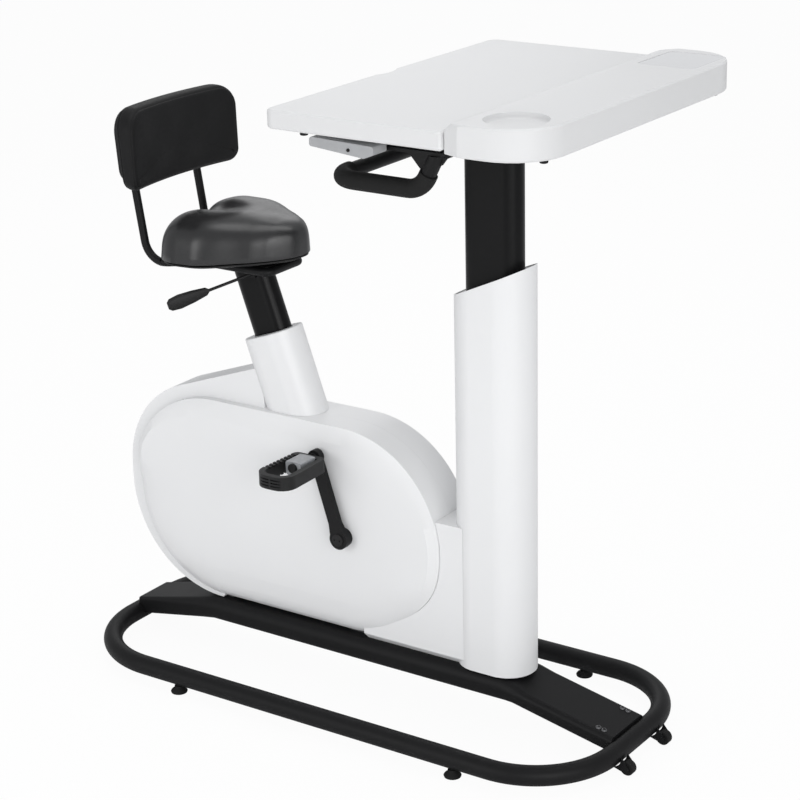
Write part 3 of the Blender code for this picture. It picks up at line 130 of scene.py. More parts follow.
class Finish:
    # One material; node() makes any node, and the shader's own sockets hold what never varies.
    def __init__(self, name, **fixed):
        self.material = bpy.data.materials.new(name)
        self.material.use_nodes = True
        self.tree = self.material.node_tree
        self.shader = self.tree.nodes["Principled BSDF"]
        for key, value in fixed.items():
            self.put(self.shader, socketNames[key], value)

    def node(self, kind, settings=None, **sockets):
        made = self.tree.nodes.new(kind)
        for key, value in (settings or {}).items():
            if key == "stops":
                self.fillRamp(made.color_ramp, value)
            else:
                setattr(made, key, value)
        for key, value in sockets.items():
            numbered = key[0] == "i" and key[1:].isdigit()
            self.put(made, int(key[1:]) if numbered else key, value)
        return made

    def fillRamp(self, ramp, stops):
        while len(ramp.elements) < len(stops):
            ramp.elements.new(0.5)
        for element, (place, level) in zip(ramp.elements, stops):
            element.position = place
            element.color = (level, level, level, 1.0)

    def put(self, node, key, value):
        socket = node.inputs[key]
        if isinstance(value, Value):
            self.tree.links.new(value.socket, socket)
        elif isinstance(value, bpy.types.NodeSocket):
            self.tree.links.new(value, socket)
        elif isinstance(value, tuple) and len(value) == 3 and len(socket.default_value) == 4:
            socket.default_value = value + (1.0,)
        else:
            socket.default_value = value

    def maths(self, operation, first, second):
        made = self.node("ShaderNodeMath", {"operation": operation}, i0=first, i1=second)
        return Value(self, made.outputs[0])

    def place(self, scale=(1.0, 1.0, 1.0)):
        coordinates = self.node("ShaderNodeTexCoord")
        mapping = self.node("ShaderNodeMapping", Vector=coordinates.outputs["Object"], Scale=scale)
        return mapping.outputs["Vector"]

    def noise(self, scale, detail=2.0, roughness=0.5, where=None):
        made = self.node("ShaderNodeTexNoise", Vector=where or self.place(), Scale=scale, Detail=detail,
                         Roughness=roughness)
        return Value(self, made.outputs["Fac"])

    def voronoi(self, scale):
        made = self.node("ShaderNodeTexVoronoi", Vector=self.place(), Scale=scale)
        return Value(self, made.outputs["Distance"])

    def ramp(self, value, stops):
        made = self.node("ShaderNodeValToRGB", {"stops": stops}, Fac=value)
        return Value(self, made.outputs["Color"])

    def mix(self, factor, first, second):
        made = self.node("ShaderNodeMix", {"data_type": "RGBA"}, Factor=factor, i6=first, i7=second)
        return made.outputs[2]

    def bump(self, height, strength, distance, below=None):
        sockets = {"Height": height, "Strength": strength, "Distance": distance}
        if below is not None:
            sockets["Normal"] = below
        return self.node("ShaderNodeBump", None, **sockets).outputs["Normal"]

    def wear(self, **sockets):
        for key, value in sockets.items():
            self.put(self.shader, socketNames[key], value)
        return self.material


socketNames = {"colour": "Base Color", "rough": "Roughness", "metal": "Metallic", "normal": "Normal",
               "ior": "IOR", "level": "Specular IOR Level", "clear": "Transmission Weight"}


# Finishes

def powderCoat():
    coat = Finish("powderCoat", level=0.20)
    grain = coat.noise(1500.0, 2.0, 0.6)
    patch = coat.noise(9.0, 3.0, 0.55)
    return coat.wear(colour=coat.mix(patch, (0.0048, 0.0048, 0.0052), (0.0080, 0.0080, 0.0086)),
                     rough=0.42 + patch * 0.10 + grain * 0.06,
                     normal=coat.bump(grain, 0.16, 0.00025))


def smoothPaint():
    paint = Finish("smoothPaint", level=0.16)
    patch = paint.noise(5.0, 2.0, 0.5, paint.place((1.0, 1.0, 0.25)))
    grain = paint.noise(700.0, 2.0, 0.5)
    return paint.wear(colour=paint.mix(patch, (0.0030, 0.0030, 0.0033), (0.0050, 0.0050, 0.0054)),
                      rough=0.27 + patch * 0.08, normal=paint.bump(grain, 0.06, 0.0002))


def whiteMoulding():
    moulding = Finish("whiteMoulding", level=0.45)
    patch = moulding.noise(4.0, 2.0, 0.5)
    peel = moulding.noise(420.0, 1.0, 0.4)
    return moulding.wear(colour=moulding.mix(patch, (0.800, 0.803, 0.808), (0.835, 0.838, 0.842)),
                         rough=0.30 + patch * 0.07, normal=moulding.bump(peel, 0.035, 0.0002))


def whiteDesk():
    desk = Finish("whiteDesk", level=0.4)
    patch = desk.noise(3.0, 2.0, 0.5)
    grain = desk.noise(2600.0, 2.0, 0.7)
    return desk.wear(colour=desk.mix(patch, (0.700, 0.702, 0.705), (0.735, 0.737, 0.740)),
                     rough=0.42 + grain * 0.10, normal=desk.bump(grain, 0.10, 0.00018))


def saddleSkin():
    skin = Finish("saddleSkin", level=0.6)
    pores = skin.voronoi(760.0)
    creases = skin.noise(120.0, 4.0, 0.6)
    patch = skin.noise(14.0, 3.0, 0.5)
    shape = skin.ramp(pores, [(0.0, 0.0), (0.5, 1.0)])
    first = skin.bump(creases, 0.10, 0.0004)
    return skin.wear(colour=skin.mix(patch, (0.010, 0.010, 0.0105), (0.016, 0.016, 0.017)),
                     rough=0.27 + creases * 0.12, normal=skin.bump(shape, 0.22, 0.00015, first))


def backrestSkin():
    skin = Finish("backrestSkin", level=0.2)
    pores = skin.voronoi(620.0)
    creases = skin.noise(90.0, 4.0, 0.6)
    patch = skin.noise(18.0, 3.0, 0.5)
    shape = skin.ramp(pores, [(0.0, 0.0), (0.55, 1.0)])
    first = skin.bump(creases, 0.18, 0.0005)
    return skin.wear(colour=skin.mix(patch, (0.0055, 0.0055, 0.0058), (0.0095, 0.0095, 0.0100)),
                     rough=0.52 + creases * 0.14, normal=skin.bump(shape, 0.4, 0.0002, first))


def blackMoulding():
    moulding = Finish("blackMoulding", level=0.28)
    grain = moulding.noise(1800.0, 2.0, 0.6)
    patch = moulding.noise(20.0, 3.0, 0.5)
    return moulding.wear(colour=moulding.mix(patch, (0.0075, 0.0075, 0.0078), (0.0140, 0.0140, 0.0145)),
                         rough=0.42 + patch * 0.12, normal=moulding.bump(grain, 0.18, 0.0002))


def blackRubber():
    rubber = Finish("blackRubber", level=0.22)
    grain = rubber.noise(900.0, 3.0, 0.6)
    patch = rubber.noise(25.0, 3.0, 0.5)
    return rubber.wear(colour=rubber.mix(patch, (0.0070, 0.0070, 0.0070), (0.0140, 0.0140, 0.0140)),
                       rough=0.68 + patch * 0.14, normal=rubber.bump(grain, 0.3, 0.0003))


def brightSteel():
    steel = Finish("brightSteel", metal=1.0)
    lines = steel.noise(300.0, 3.0, 0.6, steel.place((1.0, 8.0, 1.0)))
    return steel.wear(colour=steel.mix(lines, (0.50, 0.51, 0.53), (0.66, 0.67, 0.69)),
                      rough=0.22 + lines * 0.16,
                      normal=steel.bump(lines, 0.08, 0.0001))


def darkSteel():
    steel = Finish("darkSteel", metal=0.8)
    patch = steel.noise(60.0, 4.0, 0.6)
    return steel.wear(colour=steel.mix(patch, (0.10, 0.10, 0.105), (0.17, 0.17, 0.175)),
                      rough=0.34 + patch * 0.2,
                      normal=steel.bump(patch, 0.1, 0.0003))


def castIron():
    iron = Finish("castIron", metal=0.9)
    grain = iron.noise(350.0, 4.0, 0.7)
    return iron.wear(colour=iron.mix(grain, (0.09, 0.09, 0.095), (0.16, 0.16, 0.165)),
                     rough=0.38 + grain * 0.2,
                     normal=iron.bump(grain, 0.25, 0.0004))


def clearMoulding():
    clear = Finish("clearMoulding", level=0.5, clear=0.55, ior=1.45)
    ripple = clear.noise(160.0, 2.0, 0.5)
    return clear.wear(colour=clear.mix(ripple, (0.50, 0.52, 0.55), (0.72, 0.73, 0.75)),
                      rough=0.10 + ripple * 0.1,
                      normal=clear.bump(ripple, 0.3, 0.0008))


def greyMoulding():
    grey = Finish("greyMoulding", level=0.4)
    patch = grey.noise(30.0, 3.0, 0.5)
    grain = grey.noise(1500.0, 2.0, 0.6)
    return grey.wear(colour=grey.mix(patch, (0.33, 0.335, 0.345), (0.40, 0.405, 0.415)),
                     rough=0.40 + patch * 0.1,
                     normal=grey.bump(grain, 0.15, 0.0002))


def panelFace():
    panel = Finish("panelFace", level=0.5)
    patch = panel.noise(6.0, 2.0, 0.5)
    return panel.wear(colour=panel.mix(patch, (0.73, 0.735, 0.745), (0.77, 0.775, 0.785)),
                      rough=0.16 + patch * 0.05)


makers = (powderCoat, smoothPaint, whiteMoulding, whiteDesk, saddleSkin, backrestSkin, blackMoulding,
          blackRubber, brightSteel, darkSteel, castIron, clearMoulding, greyMoulding, panelFace)
finishes = {make.__name__: make() for make in makers}
print("finishes made:", len(finishes))


# Mesh kit

def newPiece(name, vertices, faces, finish, body, sharp=None):
    mesh = bpy.data.meshes.new(name)
    mesh.from_pydata(np.asarray(vertices, float).reshape(-1, 3).tolist(), [], faces)
    mesh.update()
    mesh.shade_smooth()
    if sharp is not None:
        mesh.set_sharp_from_angle(angle=math.radians(sharp))
    item = bpy.data.objects.new(name, mesh)
    bpy.context.scene.collection.objects.link(item)
    mesh.materials.append(finishes[finish])
    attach(item, body)
    return item


def gridFaces(rows, columns):
    # Quads between neighbouring points of a grid whose columns run round, as an index array.
    r, c = np.meshgrid(np.arange(rows - 1), np.arange(columns), indexing="ij")
    after = (c + 1) % columns
    corners = [r * columns + c, r * columns + after, (r + 1) * columns + after, (r + 1) * columns + c]
    return np.stack(corners, -1).reshape(-1, 4).tolist()


def outward(item):
    # Closes poles and seams, then turns every face outwards.
    work = bmesh.new()
    work.from_mesh(item.data)
    bmesh.ops.remove_doubles(work, verts=work.verts[:], dist=2e-6)
    bmesh.ops.recalc_face_normals(work, faces=work.faces[:])
    work.to_mesh(item.data)
    work.free()
    return item


def gridPiece(name, grid, finish, body, sharp=None):
    # A surface from a rows by columns array of points, whose columns run round.
    rows, columns = grid.shape[:2]
    return outward(newPiece(name, grid, gridFaces(rows, columns), finish, body, sharp))


def smoothStep(value, low, high):
    share = np.clip((value - low) / (high - low), 0.0, 1.0)
    return share * share * (3 - 2 * share)


def powered(value, power):
    # A power that keeps the sign, for rounded squares.
    return np.sign(value) * np.abs(value) ** power


def upright(place, axis):
    # Turns +Z to the axis and moves to the place.
    turn = Vector(axis).normalized().to_track_quat("Z", "Y").to_matrix().to_4x4()
    return np.array(Matrix.Translation(Vector(place)) @ turn)


def moved(points, matrix):
    return points @ matrix[:3, :3].T + matrix[:3, 3]


def spunGrid(rings, count):
    # Rings of (radius, height, share): the radius shrinks to a hexagon's flats by that share.
    angle = np.linspace(0, 2 * math.pi, count, endpoint=False)
    flat = math.cos(math.pi / 6) / np.cos((angle % (math.pi / 3)) - math.pi / 6)
    radius, height, share = (np.array([ring[index] for ring in rings])[:, None] for index in range(3))
    reach = radius * (1 - share + share * flat)
    return np.stack([reach * np.cos(angle), reach * np.sin(angle), height + 0 * reach], -1)


def bodyOf(node):
    return frame["nodes"][node]["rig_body"]


def standFor(mesh, node, finish, sharp):
    # Cleans a mesh, shades it and lets it stand for a solid.
    mesh.name = node + "_skin"
    mesh.materials.clear()
    work = bmesh.new()
    work.from_mesh(mesh)
    bmesh.ops.remove_doubles(work, verts=work.verts[:], dist=1e-6)
    bmesh.ops.dissolve_limit(work, angle_limit=math.radians(0.4), verts=work.verts[:], edges=work.edges[:])
    work.to_mesh(mesh)
    work.free()
    mesh.materials.append(finishes[finish])
    mesh.shade_smooth()
    mesh.set_sharp_from_angle(angle=math.radians(sharp))
    item = bpy.data.objects.new(node + "_skin", mesh)
    bpy.context.scene.collection.objects.link(item)
    evenShade(item)
    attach(item, bodyOf(node))
    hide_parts(node)
    return item


def evenShade(item):
    # Weighs the normals by face area, so that a large flat face stays evenly shaded beside a round.
    weight = item.modifiers.new("weight", "WEIGHTED_NORMAL")
    weight.keep_sharp = True
    graph = bpy.context.evaluated_depsgraph_get()
    plain = item.data
    item.data = bpy.data.meshes.new_from_object(item.evaluated_get(graph), preserve_all_data_layers=True,
                                                depsgraph=graph)
    item.modifiers.clear()
    name = plain.name
    bpy.data.meshes.remove(plain)
    item.data.name = name


def smoothCopy(node, finish, sharp=35.0):
    return standFor(frame["nodes"][node].data.copy(), node, finish, sharp)


def dress(form, node, finish, sharp=35.0):
    # Applies a form's joins and cuts and lets the result stand for the node.
    graph = bpy.context.evaluated_depsgraph_get()
    mesh = bpy.data.meshes.new_from_object(form.evaluated_get(graph))
    for used in [modifier.object for modifier in form.modifiers] + [form]:
        bpy.data.objects.remove(used, do_unlink=True)
    return standFor(mesh, node, finish, sharp)


# Rigid pieces that keep the solid's own form

skins = {
    "powderCoat": ["wheel_bracket_right", "wheel_bracket_left", "column_head"],
    "smoothPaint": ["seat_post", "desk_column", "seat_spring_cylinder", "desk_spring_cylinder"],
    "whiteDesk": ["desktop_board", "console"],
    "blackMoulding": ["drive_pulley", "brake_block"],
    "blackRubber": ["drive_belt", "foot_rear_right", "foot_rear_left", "foot_front_right", "foot_front_left",
                    "transport_wheel_right", "transport_wheel_left"],
    "brightSteel": ["bearing_right", "bearing_left", "crank_spindle", "flywheel_shaft", "seat_spring_rod",
                    "desk_spring_rod", "runner_right", "runner_left"],
    "castIron": ["flywheel"],
    "panelFace": ["display_panel"],
}

for finishName, nodeNames in skins.items():
    for nodeName in nodeNames:
        smoothCopy(nodeName, finishName)
print("skins made:", sum(len(nodeNames) for nodeNames in skins.values()))


# Rigid pieces with a form of their own: sizes in metres, then how each is made

# Clearances: seated, running, sliding, and how far a cutting tool overruns
seatGap = 0.0003
runGap = 0.0004
slideGap = 0.0008
toolReach = 0.01

# Base
tubeRadius = 0.0195
loopRearX = -0.598
loopFrontX = 0.573
loopHalfWidth = 0.242
loopRearBend = 0.183
loopFrontBend = 0.168
footHeight = 0.015
spineHalfWidth = 0.062
spineTopZ = 0.117
spineDepth = 0.0435
spineShoulder = 0.022
plateShoulder = 0.012
spineRearX = -0.583
spineRearHalfWidth = 0.047
spineRearTopZ = 0.067
spineRearBottomZ = 0.031
spineCrestX = -0.379
spineKinkX = 0.338
plateRearX = 0.372
plateRearTopZ = 0.0985
plateRearBottomZ = 0.0690
plateFrontTopZ = 0.0585
plateFrontBottomZ = 0.0290

# Housing
shellWall = 0.003
seamGap = 0.0003
rimHalfWidth = 0.057
faceHalfWidth = 0.069
bevelHalfWidth = 0.068
bevelFront = 0.018
bevelTop = 0.031
bevelRear = 0.0145
faceInset = 0.110
housingTopZ = 0.558
housingFrontX = 0.1825
housingRearX = -0.5765
footOpeningGap = 0.0015
footOpeningHeight = 0.020
ridgeHalfWidth = 0.040
ridgeRearX = -0.592
ridgeBend = 0.205
ridgeHeelBend = 0.225
ridgeFootGap = 0.002
ridgeShoulderX = -0.425
ridgeShoulderZ = 0.577

# Seat post and tower
seatLean = math.radians(19.5)
seatAxisX = -0.237
seatAxisZ = 0.707
postLength = 0.084
postThickness = 0.048
postTopZ = 0.846
towerLength = 0.124
towerThickness = 0.096
towerWall = 0.004
towerLid = 0.005
seatTubeWall = 0.0028
seatTubeShort = 0.012
springBottom = 0.580

# Cranks and drive
crankX = -0.0285
crankZ = 0.339
crankCentre = (crankX, 0, crankZ)
crankLength = 0.170
crankTilt = math.radians(17.5)
crankInnerY = 0.078
crankThickness = 0.014
crankBossRadius = 0.020
crankEyeRadius = 0.0145
crankWaist = 0.0115
crankWaistReach = 0.034
crankHoleRadius = 0.0145
crankCollarRadius = 0.019
crankCollarGap = 0.0008
spindleRadius = 0.010
bearingRadius = 0.020
bracketShellRadius = 0.025
bracketShellHalf = 0.038
flywheelX = -0.378
flywheelZ = 0.360
shaftRadius = 0.006
forkHalf = 0.028
forkCheek = 0.004
forkLength = 0.060
forkAbove = 0.025

# Pedals
pedalLength = 0.082
pedalWidth = 0.134
pedalHeight = 0.027
pedalDrop = 0.005
pedalInnerHalf = 0.036
pedalOuterCorner = 0.030
pedalInnerCorner = 0.012
pedalInnerY = 0.100
pedalBar = 0.012
pedalCoreLength = 0.036
pedalCoreReach = 0.046
pedalCoreRise = 0.003
pedalNutRadius = 0.0095
pedalSpindleRadius = 0.0065
pedalAxleRadius = 0.005
pedalFlange = 0.003
pedalNutLength = 0.006
pedalSlotWidth = 0.022
pedalSlotHeight = 0.0026
pedalSlotPitch = 0.0062
pedalSlotDepth = 0.004
pedalRib = 0.004
pedalEase = 0.001
pedalToothPitch = 0.011
pedalToothWidth = 0.005
pedalToothDepth = 0.004

# Desk column, shroud and skirt
columnX = 0.279
columnLength = 0.118
columnThickness = 0.056
guideWall = 0.0025
guideTopZ = 0.830
shroudLength = 0.160
shroudThickness = 0.114
shroudWall = 0.003
shroudRearTopZ = 0.853
shroudFrontTopZ = 0.926
capThickness = 0.006
capRecess = 0.002
skirtHalfWidth = 0.053
skirtGap = 0.0005
skirtFootHalf = 0.0385
skirtFootRise = 0.015
skirtRearX = 0.0
skirtTopZ = 0.406
headPlateWidth = 0.150

# Slide frame
headTopZ = 1.190
frameRearX = 0.175
frameFrontX = 0.375
frameHalfWidth = 0.308
frameThickness = 0.006
deskHalfWidth = 0.368
railY = deskHalfWidth - 0.106
railWidth = 0.036
railHeight = 0.0134
railWall = 0.0025
railMouth = 0.017
railRearX = 0.165
railFrontX = 0.415

# Handlebar and grips
barRadius = 0.0135
barDrop = 0.063
barTopX = 0.355
barCornerX = 0.322
barCornerBend = 0.045
barHalfWidth = 0.300
barRearX = 0.137
barRearBend = 0.050
barWall = 0.002
gussetRearX = 0.302
gussetFrontX = 0.374
gussetHeight = 0.026
gussetPlate = 0.005
gussetFlange = 0.030
gripThickness = 0.003
gripStartZ = 0.030
gripEndY = 0.245

# Desk paddle
paddlePinX = 0.211
paddlePinRadius = 0.0028
paddleRearX = 0.130
paddleFrontX = 0.262
paddleInnerY = 0.3130
paddleOuterY = 0.352
paddleBelow = 0.0113
paddleAbove = 0.0147

# Saddle bracket
saddleBottomZ = 0.8515
bracketTopZ = 0.8510
bracketPlate = 0.005
bracketLength = 0.150
bracketWidth = 0.090
bracketCollar = 0.010

# Backrest
backFaceX = -0.446
backPadThickness = 0.035
backBoardThickness = 0.010
backHalfWidth = 0.162
backBottomZ = 1.004
backTopZ = 1.151
backTopCorner = 0.045
backBottomCorner = 0.030
backBoardInset = 0.006
backLean = math.radians(5)
backSagitta = 0.020
backTubeRadius = 0.008
backTubeWall = 0.0015
backTubeY = 0.095
backTubeTopZ = 1.110
backTubeKneeZ = 1.000
backTubeLean = math.radians(9)
backTubeBend = 0.045
backTubeTurnX = -0.425
backTubeSlant = 0.060
backTubeCorner = 0.016

# Seat lever
leverRadius = 0.003
leverPaddle = 0.082
leverPaddleWidth = 0.030
leverPaddleThickness = 0.012
leverRootX = -0.265
leverRootY = -0.0314
leverRootZ = 0.826
leverSeat = 0.0022
lugHalf = 0.010
lugThickness = 0.004
leverTipX = -0.364
leverTipY = -0.165
leverTipZ = 0.782

# Worked out from these
loopZ = footHeight + tubeRadius
plateFrontX = loopFrontX - tubeRadius * 0.5
seatU = Vector((math.cos(seatLean), 0, math.sin(seatLean)))
seatA = Vector((-math.sin(seatLean), 0, math.cos(seatLean)))
seatPoint = Vector((seatAxisX, 0, seatAxisZ))


def loft(rings, around=False):
    # Skins rings of equal length. Capped at both ends, or joined end to start when it goes around.
    count = len(rings[0])
    work = bmesh.new()
    made = [[work.verts.new(Vector(point)) for point in ring] for ring in rings]
    for low, high in zip(made, made[1:] + made[:1] if around else made[1:]):
        for index in range(count):
            after = (index + 1) % count
            work.faces.new((low[index], low[after], high[after], high[index]))
    if not around:
        work.faces.new(made[0])
        work.faces.new(made[-1])
    bmesh.ops.recalc_face_normals(work, faces=work.faces[:])
    mesh = bpy.data.meshes.new("form")
    work.to_mesh(mesh)
    work.free()
    item = bpy.data.objects.new("form", mesh)
    bpy.context.scene.collection.objects.link(item)
    return item


def splitQuads(item):
    # Splits each face the same way, so that two forms made alike keep their gap where the faces twist.
    work = bmesh.new()
    work.from_mesh(item.data)
    quads = [face for face in work.faces if len(face.verts) == 4]
    bmesh.ops.triangulate(work, faces=quads, quad_method="FIXED")
    work.to_mesh(item.data)
    work.free()
    return item


def combine(target, tool, operation):
    modifier = target.modifiers.new("tool", "BOOLEAN")
    modifier.operation = operation
    modifier.object = tool
    modifier.solver = "EXACT"


def cutWith(target, tool):
    combine(target, tool, "DIFFERENCE")


def joinWith(target, tool):
    combine(target, tool, "UNION")


def roundedOutline(corners, steps=6):
    # Corners are (a, b, radius); each is replaced by an arc tangent to both of its sides.
    # A right-angled corner gets the given steps, a shallower one fewer.
    points = []
    total = len(corners)
    for index, (a, b, radius) in enumerate(corners):
        here = Vector((a, b))
        before = Vector(corners[index - 1][:2]) - here
        after = Vector(corners[(index + 1) % total][:2]) - here
        before.normalize()
        after.normalize()
        half = before.angle(after) / 2
        if radius < 1e-6:
            points.append(here)
            continue
        centre = here + (before + after).normalized() * (radius / math.sin(half))
        start = here + before * (radius / math.tan(half)) - centre
        turn = math.pi - 2 * half
        side = 1.0 if before.x * after.y - before.y * after.x < 0 else -1.0
        parts = arcSteps(turn, steps)
        for step in range(parts + 1):
            angle = side * turn * step / parts
            turned = Vector((start.x * math.cos(angle) - start.y * math.sin(angle),
                             start.x * math.sin(angle) + start.y * math.cos(angle)))
            points.append(centre + turned)
    return points


def arcSteps(turn, steps):
    return max(2, round(steps * turn / (math.pi / 2)))


def insetCorners(corners, distance):
    # Moves every side of a convex outline inwards; a negative distance grows it.
    area = sum(corners[i - 1][0] * corners[i][1] - corners[i][0] * corners[i - 1][1]
               for i in range(len(corners)))
    side = 1.0 if area > 0 else -1.0
    moved = []
    for index, (a, b, radius) in enumerate(corners):
        here = Vector((a, b))
        inward = (here - Vector(corners[index - 1][:2])).normalized()
        outward = (Vector(corners[(index + 1) % len(corners)][:2]) - here).normalized()
        normalIn = Vector((-inward.y, inward.x)) * side
        normalOut = Vector((-outward.y, outward.x)) * side
        mitre = (normalIn + normalOut).normalized()
        reach = distance / max(0.2, mitre.dot(normalIn))
        point = here + mitre * reach
        moved.append((point.x, point.y, max(radius - distance, 0.0005) if radius > 0 else 0.0))
    return moved


def racetrack(length, thickness, steps=8):
    # Oval section with two straight sides, as (along, across) points.
    radius = thickness / 2
    reach = length / 2 - radius
    points = []
    for end, start in ((1, -math.pi / 2), (-1, math.pi / 2)):
        for step in range(steps + 1):
            angle = start + math.pi * step / steps
            points.append((end * reach + radius * math.cos(angle), radius * math.sin(angle)))
    return points


def circlePoints(radius, count=24):
    return [(radius * math.cos(2 * math.pi * i / count), radius * math.sin(2 * math.pi * i / count))
            for i in range(count)]


def turned(profile, centre, axis, count=24):
    # Profile is a list of (radius, height along the axis).
    direction = Vector(axis).normalized()
    helper = Vector((0, 0, 1)) if abs(direction.z) < 0.9 else Vector((1, 0, 0))
    first = direction.cross(helper).normalized()
    second = direction.cross(first)
    base = Vector(centre)
    return loft([[base + direction * height + first * a + second * b for a, b in circlePoints(radius, count)]
                 for radius, height in profile])


def rod(radius, low, high, centre, axis, count=24):
    return turned([(radius, low), (radius, high)], centre, axis, count)


def uprightTube(outer, inner, bottom, top, centreX, tilt=0.0):
    # A vertical tube whose top may slope along X: tilt is rise per metre.
    rings = ((outer, bottom, 0.0), (outer, top, tilt), (inner, top, tilt), (inner, bottom, 0.0))
    return loft([[(centreX + a, b, height + slope * a) for a, b in section]
                 for section, height, slope in rings], around=True)


def extrudeXZ(outline, lowY, highY):
    return loft([[(p[0], y, p[1]) for p in outline] for y in (lowY, highY)])


def extrudeXY(outline, lowZ, highZ):
    return loft([[(p[0], p[1], z) for p in outline] for z in (lowZ, highZ)])


def extrudeYZ(outline, lowX, highX):
    return loft([[(x, p[0], p[1]) for p in outline] for x in (lowX, highX)])


def boxTool(low, high):
    outline = [(low[0], low[1]), (high[0], low[1]), (high[0], high[1]), (low[0], high[1])]
    return extrudeXY(outline, low[2], high[2])


def sweepRings(path, radius, sides, closedPath=False):
    # Rings square to a path of 3-D points, turned as little as possible from one to the next.
    count = len(path)
    tangents = []
    for index in range(count):
        before = path[index - 1] if closedPath or index > 0 else path[index]
        after = path[(index + 1) % count] if closedPath or index < count - 1 else path[index]
        tangents.append((after - before).normalized())
    helper = Vector((0, 0, 1)) if abs(tangents[0].z) < 0.9 else Vector((0, 1, 0))
    normal = tangents[0].cross(helper).normalized()
    rings = []
    for point, tangent in zip(path, tangents):
        normal = (normal - tangent * normal.dot(tangent)).normalized()
        second = tangent.cross(normal)
        rings.append([point + normal * a + second * b for a, b in circlePoints(radius, sides)])
    return rings


def roundedPath(corners, steps=6):
    # A 3-D polyline with arcs at its inner corners; corners are (x, y, z, radius).
    points = [Vector(corners[0][:3])]
    for before, (x, y, z, radius), after in zip(corners, corners[1:], corners[2:]):
        here = Vector((x, y, z))
        if radius == 0:
            points.append(here)
            continue
        before = (Vector(before[:3]) - here).normalized()
        after = (Vector(after[:3]) - here).normalized()
        half = before.angle(after) / 2
        reach = radius / math.tan(half)
        centre = here + (before + after).normalized() * (radius / math.sin(half))
        start = (here + before * reach - centre).normalized()
        end = (here + after * reach - centre).normalized()
        parts = arcSteps(math.pi - 2 * half, steps)
        points += [centre + start.slerp(end, step / parts) * radius for step in range(parts + 1)]
    points.append(Vector(corners[-1][:3]))
    return points


def seatPlace(u, y, t):
    return seatPoint + seatU * u + Vector((0, y, 0)) + seatA * t


def seatRing(section, t):
    return [seatPlace(a, b, t) for a, b in section]


def seatRingLevel(section, height):
    # The same section carried along the axis to a level plane.
    return [seatPlace(a, b, (height - seatPlace(a, b, 0.0).z) / seatA.z) for a, b in section]


def loopPath():
    corners = [(loopRearX, -loopHalfWidth, loopRearBend), (loopFrontX, -loopHalfWidth, loopFrontBend),
               (loopFrontX, loopHalfWidth, loopFrontBend), (loopRearX, loopHalfWidth, loopRearBend)]
    return [Vector((p.x, p.y, loopZ)) for p in roundedOutline(corners, 32)]


def buildLoop():
    dress(loft(sweepRings(loopPath(), tubeRadius, 40, True), around=True), "base_loop", "powderCoat")


def spineSection(x, halfWidth, top, bottom, radius):
    corners = [(-halfWidth, bottom, radius * 0.4), (halfWidth, bottom, radius * 0.4),
               (halfWidth, top, radius), (-halfWidth, top, radius)]
    return [(x, p.x, p.y) for p in roundedOutline(corners, 10)]


def buildSpine():
    low = spineTopZ - spineDepth
    half = spineHalfWidth
    # From the rear: x, half width, top, bottom, radius of the shoulders.
    stations = [
        (spineRearX - tubeRadius * 0.5, spineRearHalfWidth, spineRearTopZ, spineRearBottomZ, 0.004),
        (spineCrestX - 0.030, spineHalfWidth - 0.002, spineTopZ - 0.006, low - 0.005, spineShoulder * 0.8),
        (spineCrestX, half, spineTopZ, low, spineShoulder),
        (spineKinkX - 0.022, half, spineTopZ, low, spineShoulder),
        (spineKinkX - 0.008, half, spineTopZ - 0.003, low, spineShoulder),
        (spineKinkX + 0.008, half, (spineTopZ + plateRearTopZ) / 2 + 0.003, low - 0.001, spineShoulder),
        (plateRearX, half, plateRearTopZ, plateRearBottomZ, plateShoulder),
        (plateFrontX, half, plateFrontTopZ, plateFrontBottomZ, plateShoulder),
    ]
    spine = loft([spineSection(*station) for station in stations])
    envelope = sweepRings(loopPath(), (tubeRadius + seatGap) / math.cos(math.pi / 40), 40, True)
    cutWith(spine, loft(envelope, around=True))
    dress(spine, "spine", "powderCoat", 30.0)


def housingStations():
    # Round the housing as (x, z, direction in degrees): half circles at the ends, level between.
    low = spineTopZ + seatGap
    radius = (housingTopZ - low) / 2
    middle = (housingTopZ + low) / 2
    front = housingFrontX - radius
    rear = housingRearX + radius
    arcs = 60
    level = 12
    stations = [(front, middle, -90 + 180 * step / arcs) for step in range(arcs + 1)]
    stations += [(front + (rear - front) * step / level, middle, 90.0) for step in range(1, level)]
    stations += [(rear, middle, 90 + 180 * step / arcs) for step in range(arcs + 1)]
    stations += [(rear + (front - rear) * step / level, middle, 270.0) for step in range(1, level)]
    return radius, stations


def housingProfile(angle):
    # From the seam out to the face as (inset, y): a crisp bevel above and in front, rolled under elsewhere.
    bevel = bevelFront + (bevelTop - bevelFront) * smoothStep(angle, 0, 75)
    bevel -= (bevelTop - bevelRear) * smoothStep(angle, 110, 150)
    crisp = [(0.0, 0.0), (0.0, 0.030), (0.0, 0.045), (0.0, rimHalfWidth), (bevel, bevelHalfWidth),
             (bevel + 0.028, faceHalfWidth - 0.0002), (faceInset, faceHalfWidth)]
    rolled = [(0.0, 0.0), (0.0015, 0.024), (0.010, 0.041), (0.024, 0.0535), (0.046, 0.0625),
              (0.078, 0.0675), (faceInset, faceHalfWidth)]
    share = smoothStep(-angle, 15, 60) + smoothStep(angle, 150, 185)
    return [(a[0] + (b[0] - a[0]) * share, a[1] + (b[1] - a[1]) * share) for a, b in zip(crisp, rolled)]


